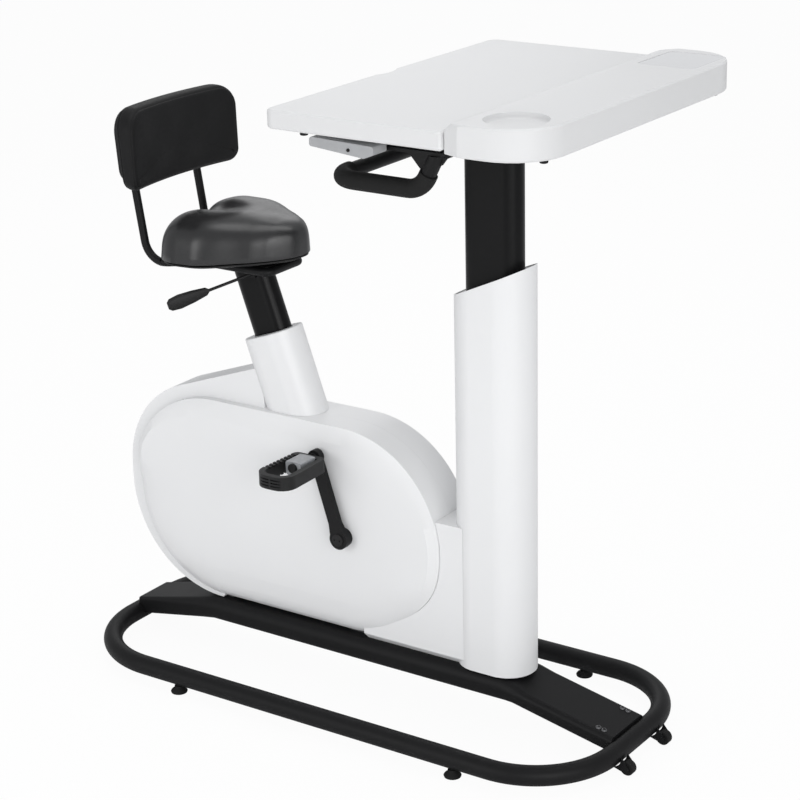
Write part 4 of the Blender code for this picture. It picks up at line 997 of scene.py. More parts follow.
def thinnedProfile(profile, distance):
    # Moves the profile inwards, square to itself; a negative distance grows it.
    moved = []
    for index, (inset, y) in enumerate(profile):
        before = profile[max(index - 1, 0)]
        after = profile[min(index + 1, len(profile) - 1)]
        normals = []
        for first, last in ((before, (inset, y)), ((inset, y), after)):
            run = Vector((last[0] - first[0], last[1] - first[1]))
            if run.length > 1e-9:
                run.normalize()
                normals.append(Vector((run.y, -run.x)))
        mitre = sum(normals, Vector((0.0, 0.0))).normalized()
        reach = distance / max(0.5, mitre.dot(normals[0]))
        moved.append((inset + mitre.x * reach, y + mitre.y * reach))
    return moved


def housingRings(side, distance, seamY):
    # One ring round the housing for each step of the profile, from the seam outwards.
    radius, stations = housingStations()
    profiles = [thinnedProfile(housingProfile(angle), distance) for x, z, angle in stations]
    rings = []
    for index in range(len(profiles[0])):
        ring = []
        for (x, z, angle), profile in zip(stations, profiles):
            inset, y = profile[index]
            y = seamY if index == 0 else y
            turn = math.radians(angle)
            reach = radius - inset
            ring.append((x + reach * math.cos(turn), side * y, z + reach * math.sin(turn)))
        rings.append(ring)
    return rings


def ridgeCorners():
    slope = math.tan(seatLean)
    foot = spineTopZ + seatGap + ridgeFootGap
    heelX = ridgeRearX + ridgeHeelBend + ridgeFootGap
    rearTop = ridgeShoulderZ + slope * (ridgeRearX - ridgeShoulderX)
    return [(ridgeRearX, foot, ridgeHeelBend), (heelX, foot, 0.0), (seatAxisX, crankZ, 0.0),
            (seatAxisX, ridgeShoulderZ + slope * (seatAxisX - ridgeShoulderX), 0.0),
            (ridgeRearX, rearTop, ridgeBend)]


def buildShell(side, word):
    seam = seamGap / 2
    shell = splitQuads(loft(housingRings(side, 0.0, seam)))
    joinWith(shell, extrudeXZ(roundedOutline(ridgeCorners(), 28), side * seam, side * ridgeHalfWidth))
    cutWith(shell, loft(housingRings(side, shellWall, -toolReach)))
    inside = roundedOutline(insetCorners(ridgeCorners(), shellWall), 28)
    cutWith(shell, extrudeXZ(inside, -side * toolReach, side * (ridgeHalfWidth - shellWall)))
    # The tower cover's bed, the passage of the post's tube, the crank's hole, the opening over the spine.
    bed = racetrack(towerLength + 2 * seatGap, towerThickness + 2 * seatGap, 28)
    cutWith(shell, loft([seatRingLevel(bed, housingTopZ + 0.0002), seatRing(bed, 0.05)]))
    tube = 2 * (slideGap + seatTubeWall)
    passage = racetrack(postLength + tube + 0.004, postThickness + tube + 0.004, 6)
    cutWith(shell, loft([seatRingLevel(passage, housingTopZ + height) for height in (-0.02, 0.03)]))
    cutWith(shell, rod(crankHoleRadius, faceHalfWidth - 0.02, faceHalfWidth + 0.02, crankCentre,
                       (0, side, 0), 32))
    opening = max(forkHalf, postThickness / 2 + slideGap + seatTubeWall) + footOpeningGap
    low, high = (-toolReach, opening) if side > 0 else (-opening, toolReach)
    footRear = flywheelX - forkLength / 2 - 0.006
    tubeHalf = (postLength / 2 + slideGap + seatTubeWall) / math.cos(seatLean)
    footFront = seatAxisX + math.tan(seatLean) * (seatAxisZ - spineTopZ) + tubeHalf + footOpeningGap
    cutWith(shell, boxTool((footRear, low, spineTopZ - toolReach),
                           (footFront, high, spineTopZ + footOpeningHeight)))
    dress(shell, "shell_" + word, "whiteMoulding", 28.0)


def buildTower():
    outer = racetrack(towerLength, towerThickness, 28)
    inner = racetrack(towerLength - 2 * towerWall, towerThickness - 2 * towerWall, 28)
    mouth = racetrack(postLength + 0.003, postThickness + 0.003, 28)
    foot = housingTopZ + seatGap
    soft = racetrack(towerLength - 0.003, towerThickness - 0.003, 28)
    rings = [seatRingLevel(outer, foot), seatRing(outer, -0.0015), seatRing(soft, 0.0), seatRing(mouth, 0.0),
             seatRing(mouth, -towerLid), seatRing(inner, -towerLid), seatRingLevel(inner, foot)]
    dress(loft(rings, around=True), "tower_cover", "whiteMoulding", 40.0)


def buildSkirt():
    base = spineTopZ + seatGap
    w = skirtHalfWidth
    f = skirtFootHalf
    t = shellWall
    rise = base + skirtFootRise
    section = [(f, base), (w, rise), (w, skirtTopZ), (-w, skirtTopZ), (-w, rise), (-f, base), (-f + t, base),
               (-w + t, rise + t * 0.4), (-w + t, skirtTopZ - t), (w - t, skirtTopZ - t),
               (w - t, rise + t * 0.4), (f - t, base)]
    skirt = extrudeYZ(section, skirtRearX, columnX)
    for side in (-1, 1):
        cutWith(skirt, splitQuads(loft(housingRings(side, -skirtGap, -0.005))))
    post = racetrack(shroudLength + 2 * seatGap, shroudThickness + 2 * seatGap, 32)
    cutWith(skirt, extrudeXY([(columnX + a, b) for a, b in post], base - toolReach, skirtTopZ + toolReach))
    dress(skirt, "front_skirt", "whiteMoulding", 25.0)


def shroudSlope():
    return (shroudFrontTopZ - shroudRearTopZ) / shroudLength


def buildShroud():
    middle = (shroudFrontTopZ + shroudRearTopZ) / 2
    outer = racetrack(shroudLength, shroudThickness, 32)
    inner = racetrack(shroudLength - 2 * shroudWall, shroudThickness - 2 * shroudWall, 32)
    shroud = uprightTube(outer, inner, spineTopZ + seatGap, middle, columnX, shroudSlope())
    dress(shroud, "post_shroud", "whiteMoulding", 40.0)
    gap = shroudWall + seatGap
    rim = racetrack(shroudLength - 2 * gap, shroudThickness - 2 * gap, 32)
    mouth = racetrack(columnLength + 2 * slideGap, columnThickness + 2 * slideGap, 32)
    top = middle - capRecess
    rings = [[(columnX + a, b, z + shroudSlope() * a) for a, b in section]
             for section, z in ((rim, top - capThickness), (rim, top), (mouth, top),
                                (mouth, top - capThickness))]
    dress(loft(rings, around=True), "post_cap", "whiteMoulding", 40.0)


def buildGuide():
    inner = racetrack(columnLength + 2 * slideGap, columnThickness + 2 * slideGap, 24)
    wall = 2 * (slideGap + guideWall)
    outer = racetrack(columnLength + wall, columnThickness + wall, 24)
    dress(uprightTube(outer, inner, spineTopZ + seatGap, guideTopZ, columnX), "column_guide", "darkSteel")


def buildSeatTube():
    inner = racetrack(postLength + 2 * slideGap, postThickness + 2 * slideGap, 24)
    wall = 2 * (slideGap + seatTubeWall)
    outer = racetrack(postLength + wall, postThickness + wall, 24)
    top = -seatTubeShort
    rings = [seatRing(inner, -springBottom - 0.0105), seatRing(inner, top), seatRing(outer, top),
             seatRingLevel(outer, spineTopZ + seatGap)]
    tube = loft(rings)
    reach = Vector(crankCentre) - seatPoint
    shellU = reach.dot(seatU)
    shellT = reach.dot(seatA)
    front = (postLength + wall) / 2 - seatTubeWall * 0.5
    web = [(front, -0.016), (shellU - 0.010, -0.012), (shellU - 0.010, 0.012), (front, 0.016)]
    joinWith(tube, loft([[seatPlace(u, y, shellT + t) for u, t in web] for y in (-0.018, 0.018)]))
    joinWith(tube, rod(bracketShellRadius, -bracketShellHalf, bracketShellHalf, crankCentre, (0, 1, 0), 32))
    cutWith(tube, rod(bearingRadius + seatGap, -0.05, 0.05, crankCentre, (0, 1, 0), 32))
    dress(tube, "seat_tube", "darkSteel")


def buildFork():
    base = spineTopZ + seatGap
    top = flywheelZ + forkAbove
    y = forkHalf
    t = forkCheek
    outline = [(-y, base), (y, base), (y, top), (y - t, top), (y - t, base + t), (-y + t, base + t),
               (-y + t, top), (-y, top)]
    fork = extrudeYZ(outline, flywheelX - forkLength / 2, flywheelX + forkLength / 2)
    cutWith(fork, rod(shaftRadius + runGap, -0.06, 0.06, (flywheelX, 0, flywheelZ), (0, 1, 0)))
    dress(fork, "flywheel_fork", "darkSteel")


def pedalCentre(side):
    # The right crank points up and back, the left one down and forward.
    reach = crankLength if side < 0 else -crankLength
    return (crankX - reach * math.sin(crankTilt), crankZ + reach * math.cos(crankTilt))


def buildCrank(side, word):
    # Arcs round the hub and the eye, drawn in to a waist just beyond the hub.
    px, pz = pedalCentre(side)
    hub = Vector((crankX, crankZ))
    eye = Vector((px, pz))
    along = (eye - hub).normalized()
    across = Vector((-along.y, along.x))
    spread = math.radians(52)
    outline = []
    for centre, radius, steps, first, waist in ((hub, crankBossRadius, 32, 0.0, -crankWaist),
                                                (eye, crankEyeRadius, 24, math.pi, crankWaist)):
        for step in range(steps + 1):
            angle = first + spread + (2 * math.pi - 2 * spread) * step / steps
            outline.append(centre + along * radius * math.cos(angle) + across * radius * math.sin(angle))
        outline.append(hub + along * crankWaistReach + across * waist)
    arm = extrudeXZ(outline, side * crankInnerY, side * (crankInnerY + crankThickness))
    outwards = (0, side, 0)
    middle = crankInnerY + crankThickness / 2
    joinWith(arm, rod(crankCollarRadius, faceHalfWidth + crankCollarGap, middle, crankCentre, outwards, 28))
    cutWith(arm, rod(spindleRadius + seatGap, bracketShellHalf, crankInnerY + 2 * crankThickness, crankCentre,
                     outwards, 32))
    cutWith(arm, rod(pedalSpindleRadius + seatGap, -0.02, 0.02, (px, side * middle, pz), (0, 1, 0)))
    dress(arm, "crank_arm_" + word, "powderCoat")


def buildPedalSpindle(side, word, centre, coreOut):
    armOut = crankInnerY + crankThickness + pedalEase
    flange = pedalSpindleRadius + pedalFlange
    flangeEnd = pedalInnerY - 0.003
    nutIn = coreOut + runGap
    nutOut = coreOut + pedalNutLength
    profile = [(pedalSpindleRadius, crankInnerY + pedalEase), (pedalSpindleRadius, armOut), (flange, armOut),
               (flange, flangeEnd), (pedalAxleRadius, flangeEnd), (pedalAxleRadius, nutIn),
               (pedalNutRadius, nutIn), (pedalNutRadius, nutOut - pedalEase),
               (pedalNutRadius - pedalEase, nutOut)]
    dress(turned(profile, centre, (0, side, 0)), "pedal_spindle_" + word, "blackMoulding")


def buildPedalCage(side, word, centre):
    px, pz = centre[0], centre[2]
    yIn = pedalInnerY
    yOut = yIn + pedalWidth
    half = pedalLength / 2
    middle = pz - pedalDrop
    low = middle - pedalHeight / 2
    high = middle + pedalHeight / 2
    plan = [(px - pedalInnerHalf, side * yIn, pedalInnerCorner),
            (px + pedalInnerHalf, side * yIn, pedalInnerCorner),
            (px + half, side * yOut, pedalOuterCorner), (px - half, side * yOut, pedalOuterCorner)]
    if side < 0:
        plan.reverse()
    outer = roundedOutline(plan, 5)
    inner = roundedOutline(insetCorners(plan, pedalBar), 5)
    rings = [[(p.x, p.y, z) for p in outline]
             for outline, z in ((outer, low), (outer, high), (inner, high), (inner, low))]
    cage = loft(rings, around=True)
    cutWith(cage, rod(pedalAxleRadius + 2 * runGap, yIn - toolReach, yIn + pedalBar + 0.004, centre,
                      (0, side, 0)))
    # Teeth along the rear bar, above and below.
    run = pedalWidth - pedalOuterCorner - pedalInnerCorner
    teeth = int(run / pedalToothPitch)
    first = yIn + pedalInnerCorner + (run - (teeth - 1) * pedalToothPitch) / 2
    w = pedalToothWidth / 2
    for index in range(teeth):
        y = side * (first + index * pedalToothPitch)
        for edge in (low, high):
            cutWith(cage, boxTool((px - half - toolReach, y - w, edge - pedalToothDepth),
                                  (px - pedalCoreLength / 2, y + w, edge + pedalToothDepth)))
    # Three slots in the outer end, each parted by an upright rib.
    ends = sorted((side * (yOut - pedalSlotDepth), side * (yOut + toolReach)))
    for level in (-1, 0, 1):
        z = middle + level * pedalSlotPitch
        for hand in (-1, 1):
            sides = sorted((px + hand * pedalRib / 2, px + hand * (pedalRib / 2 + pedalSlotWidth)))
            cutWith(cage, boxTool((sides[0], ends[0], z - pedalSlotHeight / 2),
                                  (sides[1], ends[1], z + pedalSlotHeight / 2)))
    dress(cage, "pedal_cage_" + word, "blackMoulding")


def buildPedalCore(side, word, centre, coreIn, coreOut):
    px, pz = centre[0], centre[2]
    half = pedalCoreLength / 2
    top = pz - pedalDrop + pedalHeight / 2 + pedalCoreRise
    bottom = pz - pedalDrop - pedalHeight / 2 + 0.002
    outline = roundedOutline([(px - half, bottom, 0.006), (px + half, bottom, 0.006), (px + half, top, 0.002),
                              (px - half, top, 0.002)], 3)
    core = extrudeXZ(outline, side * coreIn, side * coreOut)
    cutWith(core, rod(pedalAxleRadius + runGap, pedalInnerY, pedalInnerY + pedalWidth, centre, (0, side, 0)))
    dress(core, "pedal_core_" + word, "clearMoulding")


def buildPedal(side, word):
    px, pz = pedalCentre(side)
    centre = (px, 0, pz)
    coreIn = pedalInnerY + pedalBar + seatGap
    coreOut = coreIn + pedalCoreReach
    buildPedalSpindle(side, word, centre, coreOut)
    buildPedalCage(side, word, centre)
    buildPedalCore(side, word, centre, coreIn, coreOut)


def bracketCentre():
    # Where the seat post's axis meets its level top.
    base = seatPlace(0, 0, 0)
    return seatPlace(0, 0, (postTopZ - base.z) / seatA.z)


def buildSaddleBracket():
    around = racetrack(postLength + 2 * seatGap, postThickness + 2 * seatGap, 24)
    collar = racetrack(postLength + 0.010, postThickness + 0.010, 24)
    centre = bracketCentre()
    topT = (centre - seatPlace(0, 0, 0)).length
    plateLow = bracketTopZ - bracketPlate
    # The plate's outline has as many points as the collar, one per direction from the centre.
    squareness = 0.28
    plate = []
    for a, b in collar:
        angle = math.atan2(b / postThickness, a / postLength)
        c = math.cos(angle)
        s = math.sin(angle)
        plate.append((centre.x + bracketLength / 2 * math.copysign(abs(c) ** squareness, c),
                      bracketWidth / 2 * math.copysign(abs(s) ** squareness, s)))
    bracket = loft([seatRingLevel(around, postTopZ + seatGap), seatRing(around, topT - bracketCollar),
                    seatRing(collar, topT - bracketCollar), seatRingLevel(collar, plateLow - 0.0005),
                    [(x, y, plateLow) for x, y in plate], [(x, y, bracketTopZ) for x, y in plate]])
    # A lug under the plate carries the lever's root.
    face = leverRootY + leverSeat
    joinWith(bracket, boxTool((leverRootX - lugHalf, face, leverRootZ - lugHalf * 0.6),
                              (leverRootX + lugHalf, face + lugThickness, plateLow + bracketPlate / 2)))
    dress(bracket, "saddle_bracket", "powderCoat")


def stripRings(frontX, rearX, inset, columns=48):
    # The board as upright slices from side to side, leaning back and bowed forward at its sides.
    rings = []
    half = backHalfWidth - inset
    topCorner = backTopCorner - inset
    lowCorner = backBottomCorner - inset
    for index in range(columns + 1):
        y = -half * math.cos(math.pi * index / columns)
        topDent = max(0.0, abs(y) - (half - topCorner))
        lowDent = max(0.0, abs(y) - (half - lowCorner))
        high = backTopZ - inset - topCorner + math.sqrt(max(topCorner ** 2 - topDent ** 2, 0.0))
        low = backBottomZ + inset + lowCorner - math.sqrt(max(lowCorner ** 2 - lowDent ** 2, 0.0))
        shift = backSagitta * (y / backHalfWidth) ** 2
        soft = min(0.006, abs(frontX - rearX) * 0.3)
        section = [(rearX, low + soft), (rearX, high - soft), (rearX + soft, high), (frontX - soft, high),
                   (frontX, high - soft), (frontX, low + soft), (frontX - soft, low), (rearX + soft, low)]
        rings.append([(x + shift - math.tan(backLean) * (z - backBottomZ), y, z) for x, z in section])
    return rings


def buildBackrest():
    padRear = backFaceX - backPadThickness
    boardFront = padRear - seatGap
    boardRear = boardFront - backBoardThickness
    dress(loft(stripRings(boardFront, boardRear, backBoardInset)), "backrest_board", "blackMoulding")
    y = backTubeY
    bow = backSagitta * (y / backHalfWidth) ** 2
    behind = boardRear + bow - backTubeRadius / math.cos(backLean) - seatGap
    topX = behind - math.tan(backLean) * (backTubeTopZ - backBottomZ)
    kneeX = behind - math.tan(backLean) * (backTubeKneeZ - backBottomZ)
    level = saddleBottomZ - backTubeRadius - seatGap
    footX = kneeX + math.tan(backTubeLean) * (backTubeKneeZ - level)
    # Under the saddle the tube draws in and runs close round the bracket's plate.
    inner = bracketWidth / 2 + backTubeRadius + 2 * seatGap
    crossX = bracketCentre().x + bracketLength / 2 + backTubeRadius + 2 * seatGap
    half = [(topX, -y, backTubeTopZ, 0), (kneeX, -y, backTubeKneeZ, backTubeBend),
            (footX, -y, level, backTubeBend), (backTubeTurnX, -y, level, 0.030),
            (backTubeTurnX + backTubeSlant, -inner, level, 0.030), (crossX, -inner, level, backTubeCorner)]
    path = roundedPath(half + [(x, -side, z, bend) for x, side, z, bend in reversed(half)], 14)
    outside = sweepRings(path, backTubeRadius, 24)
    inside = sweepRings(path, backTubeRadius - backTubeWall, 24)
    dress(loft(outside + list(reversed(inside)), around=True), "backrest_frame", "powderCoat")


def buildSeatLever():
    root = Vector((leverRootX, leverRootY, leverRootZ))
    tip = Vector((leverTipX, leverTipY, leverTipZ))
    along = (tip - root).normalized()
    across = along.cross(Vector((0, 0, 1))).normalized()
    up = across.cross(along)
    length = (tip - root).length

    def ring(distance, width, height):
        return [root + along * distance + across * height * a + up * width * b
                for a, b in circlePoints(1.0, 32)]
    neck = length - leverPaddle
    rings = [ring(0.0, leverRadius, leverRadius), ring(neck - 0.004, leverRadius, leverRadius),
             ring(neck + 0.002, leverPaddleWidth * 0.28, leverRadius),
             ring(neck + leverPaddle * 0.35, leverPaddleWidth * 0.42, leverPaddleThickness * 0.45),
             ring(neck + leverPaddle * 0.70, leverPaddleWidth * 0.50, leverPaddleThickness * 0.50),
             ring(neck + leverPaddle * 0.93, leverPaddleWidth * 0.42, leverPaddleThickness * 0.46),
             ring(length, leverPaddleWidth * 0.24, leverPaddleThickness * 0.30)]
    dress(loft(rings), "seat_lever", "blackMoulding")


def buildSlideFrame():
    z0 = headTopZ + seatGap
    z1 = z0 + frameThickness
    corners = [(frameRearX, -frameHalfWidth, 0.012), (frameFrontX, -frameHalfWidth, 0.012),
               (frameFrontX, frameHalfWidth, 0.012), (frameRearX, frameHalfWidth, 0.012)]
    plate = extrudeXY(roundedOutline(corners, 6), z0, z1)
    inner = headPlateWidth / 2 + 0.020
    outer = railY - railWidth / 2 - 0.010
    for side in (-1, 1):
        low, high = sorted((side * inner, side * outer))
        window = [(frameRearX + 0.030, low, 0.010), (frameFrontX - 0.030, low, 0.010),
                  (frameFrontX - 0.030, high, 0.010), (frameRearX + 0.030, high, 0.010)]
        cutWith(plate, extrudeXY(roundedOutline(window, 3), z0 - toolReach, z1 + toolReach))
    w = railWidth / 2
    m = railMouth / 2
    t = railWall
    base = z1 - 0.0005
    top = z1 + railHeight
    section = [(-w, base), (w, base), (w, top), (m, top), (m, top - t), (w - t, top - t), (w - t, z1 + t),
               (-w + t, z1 + t), (-w + t, top - t), (-m, top - t), (-m, top), (-w, top)]
    for side in (-1, 1):
        joinWith(plate, extrudeYZ([(side * railY + a, b) for a, b in section], railRearX, railFrontX))
    joinWith(plate, rod(paddlePinRadius, frameHalfWidth - 0.01, paddleOuterY + 0.002,
                        (paddlePinX, 0, z0 + frameThickness / 2), (0, -1, 0), 16))
    dress(plate, "slide_frame", "powderCoat")


def handlebarPath():
    # From the right leg's top down, back along the side, across behind the column and up again on the left.
    top = headTopZ + seatGap
    barZ = headTopZ - barDrop
    lean = (barTopX - barCornerX) / (top - barZ)
    rise = 0.010
    start = (barCornerX + lean * gripStartZ, -barHalfWidth, barZ + gripStartZ)
    end = (barRearX, -gripEndY, barZ)
    half = [(barTopX + lean * rise, -barHalfWidth, top + rise, 0), start + (0,),
            (barCornerX, -barHalfWidth, barZ, barCornerBend), (barRearX, -barHalfWidth, barZ, barRearBend),
            end + (0,)]
    path = roundedPath(half + [(x, -y, z, bend) for x, y, z, bend in reversed(half)], 16)
    return path, Vector(start), Vector(end)


def nearestIndex(path, point):
    return min(range(len(path)), key=lambda i: (path[i] - point).length)


def buildHandlebar():
    path, gripStart, gripEnd = handlebarPath()
    top = headTopZ
    seat = top - 0.004
    bar = loft(sweepRings(path, barRadius, 32))
    for side in (-1, 1):
        y = side * barHalfWidth
        gusset = [(gussetRearX, top + toolReach), (gussetRearX, seat), (barCornerX, top - gussetHeight),
                  (barTopX + 0.010, top - gussetHeight * 0.6), (gussetFrontX, seat),
                  (gussetFrontX, top + toolReach)]
        joinWith(bar, extrudeXZ(gusset, y - gussetPlate / 2, y + gussetPlate / 2))
        edges = sorted((side * (frameHalfWidth - 0.002), side * (frameHalfWidth - gussetFlange)))
        joinWith(bar, boxTool((gussetRearX, edges[0], seat), (gussetFrontX, edges[1], top + toolReach)))
    cutWith(bar, boxTool((gussetRearX - 0.1, -frameHalfWidth - 0.1, top),
                         (gussetFrontX + 0.1, frameHalfWidth + 0.1, top + 0.05)))
    cutWith(bar, loft(sweepRings(path, barRadius - barWall, 32)))
    dress(bar, "handlebar", "powderCoat")
    inside = sweepRings(path, barRadius + seatGap, 32)
    outside = sweepRings(path, barRadius + gripThickness, 32)
    for side, word in ((1, "right"), (-1, "left")):
        ends = sorted(nearestIndex(path, Vector((p.x, side * p.y, p.z))) for p in (gripStart, gripEnd))
        sleeve = outside[ends[0]:ends[1] + 1] + list(reversed(inside[ends[0]:ends[1] + 1]))
        dress(loft(sleeve, around=True), "grip_" + word, "blackRubber")


def buildPaddle():
    pinZ = headTopZ + seatGap + frameThickness / 2
    low = pinZ - paddleBelow
    high = pinZ + paddleAbove
    outline = roundedOutline([(paddleRearX, low + 0.010, 0.004), (paddleFrontX - 0.02, low, 0.006),
                              (paddleFrontX, low + 0.008, 0.004), (paddleFrontX, high - 0.004, 0.004),
                              (paddleRearX, high, 0.005)], 3)
    paddle = extrudeXZ(outline, -paddleOuterY, -paddleInnerY)
    cutWith(paddle, rod(paddlePinRadius + runGap, paddleInnerY - toolReach, paddleOuterY + toolReach,
                        (paddlePinX, 0, pinZ), (0, -1, 0), 16))
    dress(paddle, "desk_paddle", "greyMoulding")


buildLoop()
buildSpine()
for side, word in ((-1, "right"), (1, "left")):
    buildShell(side, word)
    buildCrank(side, word)
    buildPedal(side, word)
buildTower()
buildSkirt()
buildShroud()
buildGuide()
buildSeatTube()
buildFork()
buildSaddleBracket()
buildBackrest()
buildSeatLever()
buildSlideFrame()
buildHandlebar()
buildPaddle()
print("forms made")


# Saddle cushion

saddleSet = {
    "node": "saddle_cushion",
    "rear": -0.429,
    "nose": -0.156,
    "low": 0.8575,
    "high": 0.951,
    "half": 0.143,
    "tilt": 0.014,
    "waistHalf": 0.084,
    "noseHalf": 0.046,
    "flank": 0.38,
    "waist": 0.84,
    "rearBend": 0.070,
    "rearShare": 0.92,
    "noseBend": 0.040,
    "noseShare": 0.80,
    "square": 0.58,
    "tuck": 0.06,
    "swell": 0.0010,
    "noseDrop": 0.016,
    "valley": 0.015,
    "valleyHalf": 0.032,
    "rearNotch": 0.014,
    "crest": 0.003,
    "crestHalf": 0.020,
    "flare": 0.035,
    "skirt": 0.003,
    "panInset": 0.004,
    "panLow": 0.8516,
    # From the middle above to the rim and back below: inset as a share, drop below the rim, levelling.
    "panRings": [(0.96, 0.0004, 0.0), (0.40, 0.0004, 0.0), (0.03, 0.0004, 0.0), (0.0, 0.0008, 0.0),
                 (0.0, 0.0036, 0.0), (0.05, 0.0050, 0.1), (0.42, 0.0, 1.0), (0.96, 0.0, 1.0)],
    "rows": 150,
    "columns": 168,
}


def saddleLengths(settings, count):
    # Places along the saddle, closer together towards both ends.
    ends = (1 - np.cos(math.pi * np.linspace(0, 1, count))) / 2
    return settings["rear"] + (settings["nose"] - settings["rear"]) * ends


def saddleHalf(settings, x):
    # The share of the length, half the width at x, and the roundness of both ends from 0 at the tip to 1.
    u = (x - settings["rear"]) / (settings["nose"] - settings["rear"])
    taper = smoothStep(u, settings["flank"], settings["waist"])
    neck = smoothStep(u, settings["waist"] - 0.10, 1.0)
    half = settings["half"] + (settings["waistHalf"] - settings["half"]) * taper
    half = half + (settings["noseHalf"] - settings["waistHalf"]) * neck
    rear = 1 - np.clip((x - settings["rear"]) / settings["rearBend"], 0, 1)
    nose = 1 - np.clip((settings["nose"] - x) / settings["noseBend"], 0, 1)
    rearRound = np.sqrt(1 - rear ** 2)
    noseRound = np.sqrt(1 - nose ** 2)
    half = half - settings["rearBend"] * settings["rearShare"] * (1 - rearRound)
    half = half - settings["noseHalf"] * settings["noseShare"] * (1 - noseRound)
    return u, half, rearRound, noseRound


def makeSaddle(settings):
    # Along the saddle by x, round its section by t. The section is a rounded square that flares at its
    # sharp lower edge. Its width and height close round at both ends, a valley parts the rear lobes, and
    # the nose stands lower.
    t = np.linspace(0, 2 * math.pi, settings["columns"], endpoint=False)[None, :]
    x = saddleLengths(settings, settings["rows"])[:, None]
    u, half, rearRound, noseRound = saddleHalf(settings, x)
    base = settings["low"] + settings["tilt"] * u ** 1.5
    full = settings["high"] - settings["skirt"] - base
    rise = full - settings["noseDrop"] * smoothStep(u, 0.45, 1.0)
    c, r = np.cos(t), np.sin(t)
    up = np.clip(r, 0, 1)
    down = np.clip(-r, 0, 1)
    share = powered(up, settings["square"])
    flare = 1 + settings["flare"] * ((1 - share) ** 3 - 1)
    y = half * powered(c, settings["square"]) * flare * (1 - settings["tuck"] * down)
    above = rise * share * rearRound ** 0.6 * noseRound ** 0.35
    below = settings["skirt"] * powered(down, 0.7) * rearRound * noseRound
    spread = np.exp(-(y / settings["valleyHalf"]) ** 2)
    valley = settings["valley"] * spread * (1 - smoothStep(u, 0.30, 0.62)) * up ** 0.5 * rearRound
    ridge = np.exp(-(y / settings["crestHalf"]) ** 2)
    crest = settings["crest"] * ridge * smoothStep(u, 0.62, 0.80) * up * noseRound
    x = x + settings["rearNotch"] * spread * (1 - smoothStep(u, 0.0, 0.35))
    swell = settings["swell"] * np.sin(9 * y / settings["half"] + 5 * u) * up
    z = base + settings["skirt"] + above - below - valley + crest + swell
    grid = np.stack(np.broadcast_arrays(x, y, z), -1)
    cushion = gridPiece("saddle_cover", grid, "saddleSkin", "seat", sharp=60)
    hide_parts(settings["node"])


def makeSaddlePan(settings):
    # A tray whose rim follows the cushion's lower edge and whose underside is level on the bracket.
    x = saddleLengths(settings, 90)
    u, half = saddleHalf(settings, x)[:2]
    rim = settings["low"] + settings["tilt"] * u ** 1.5
    outline = np.concatenate([np.stack([x, -half, rim], -1), np.stack([x, half, rim], -1)[::-1]])
    middle = np.array([(settings["rear"] + settings["nose"]) / 2, 0.0])
    rings = []
    for inset, drop, level in settings["panRings"]:
        share = 1 - settings["panInset"] / settings["half"] - inset
        plan = outline[:, :2] * share + middle * (1 - share)
        height = (outline[:, 2:] - drop) * (1 - level) + settings["panLow"] * level
        rings.append(np.concatenate([plan, height], 1))
    pan = gridPiece("saddle_pan_shell", np.stack(rings), "blackMoulding", "seat", sharp=40)
    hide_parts("saddle_pan")


makeSaddle(saddleSet)
makeSaddlePan(saddleSet)
print("saddle made")


# Backrest pad

backSet = {
    "node": "backrest_pad",
    "half": 0.166,
    "low": 0.996,
    "high": 1.154,
    "topCorner": 0.046,
    "lowCorner": 0.026,
    "faceX": backFaceX,
    "bow": backSagitta,
    "lean": math.radians(1),
    "thicken": 2.03,
    "crown": 0.0040,
    # From the front face round the edge to the back, with two sewn seams: how far inward, how far behind.
    "edge": [(0.030, 0.0), (0.022, 0.0004), (0.015, 0.0010), (0.010, 0.0018), (0.0068, 0.0030),
             (0.0052, 0.0044), (0.0060, 0.0052), (0.0046, 0.0060), (0.0022, 0.0078), (0.0008, 0.0105),
             (0.0, 0.0150), (0.0, 0.0215), (0.0006, 0.0258), (0.0018, 0.0280), (0.0034, 0.0292),
             (0.0020, 0.0304), (0.0036, 0.0325), (0.0080, 0.0344), (0.0150, 0.0350), (0.030, 0.0350)],
    "ripple": 0.0008,
    "columns": 260,
}


def padOutline(settings, count):
    # A rounded rectangle as (y, z) points at even steps, and the way outwards at each.
    half, low, high = settings["half"], settings["low"], settings["high"]
    top, foot = settings["topCorner"], settings["lowCorner"]
    turns = []
    for y, z, bend, first in ((half - foot, low + foot, foot, -90), (half - top, high - top, top, 0),
                              (-half + top, high - top, top, 90), (-half + foot, low + foot, foot, 180)):
        angle = np.radians(np.linspace(first, first + 90, 24))
        turns.append(np.stack([y + bend * np.cos(angle), z + bend * np.sin(angle)], -1))
    loop = np.concatenate(turns + [turns[0][:1]])
    along = np.concatenate([[0], np.cumsum(np.linalg.norm(np.diff(loop, axis=0), axis=1))])
    where = np.linspace(0, along[-1], count, endpoint=False)
    points = np.stack([np.interp(where, along, loop[:, axis]) for axis in (0, 1)], -1)
    run = np.roll(points, -1, 0) - np.roll(points, 1, 0)
    run /= np.linalg.norm(run, axis=1)[:, None]
    return points, np.stack([run[:, 1], -run[:, 0]], -1)


def backPlace(points, settings):
    # Bows (depth, y, z) forward at the sides, leans it back and thickens it towards the top.
    depth, y, z = points[..., 0], points[..., 1], points[..., 2]
    depth = depth * (1 + settings["thicken"] * (z - settings["low"]))
    x = settings["faceX"] - depth + settings["bow"] * (y / settings["half"]) ** 2
    return np.stack([x - math.tan(settings["lean"]) * (z - settings["low"]), y, z], -1)


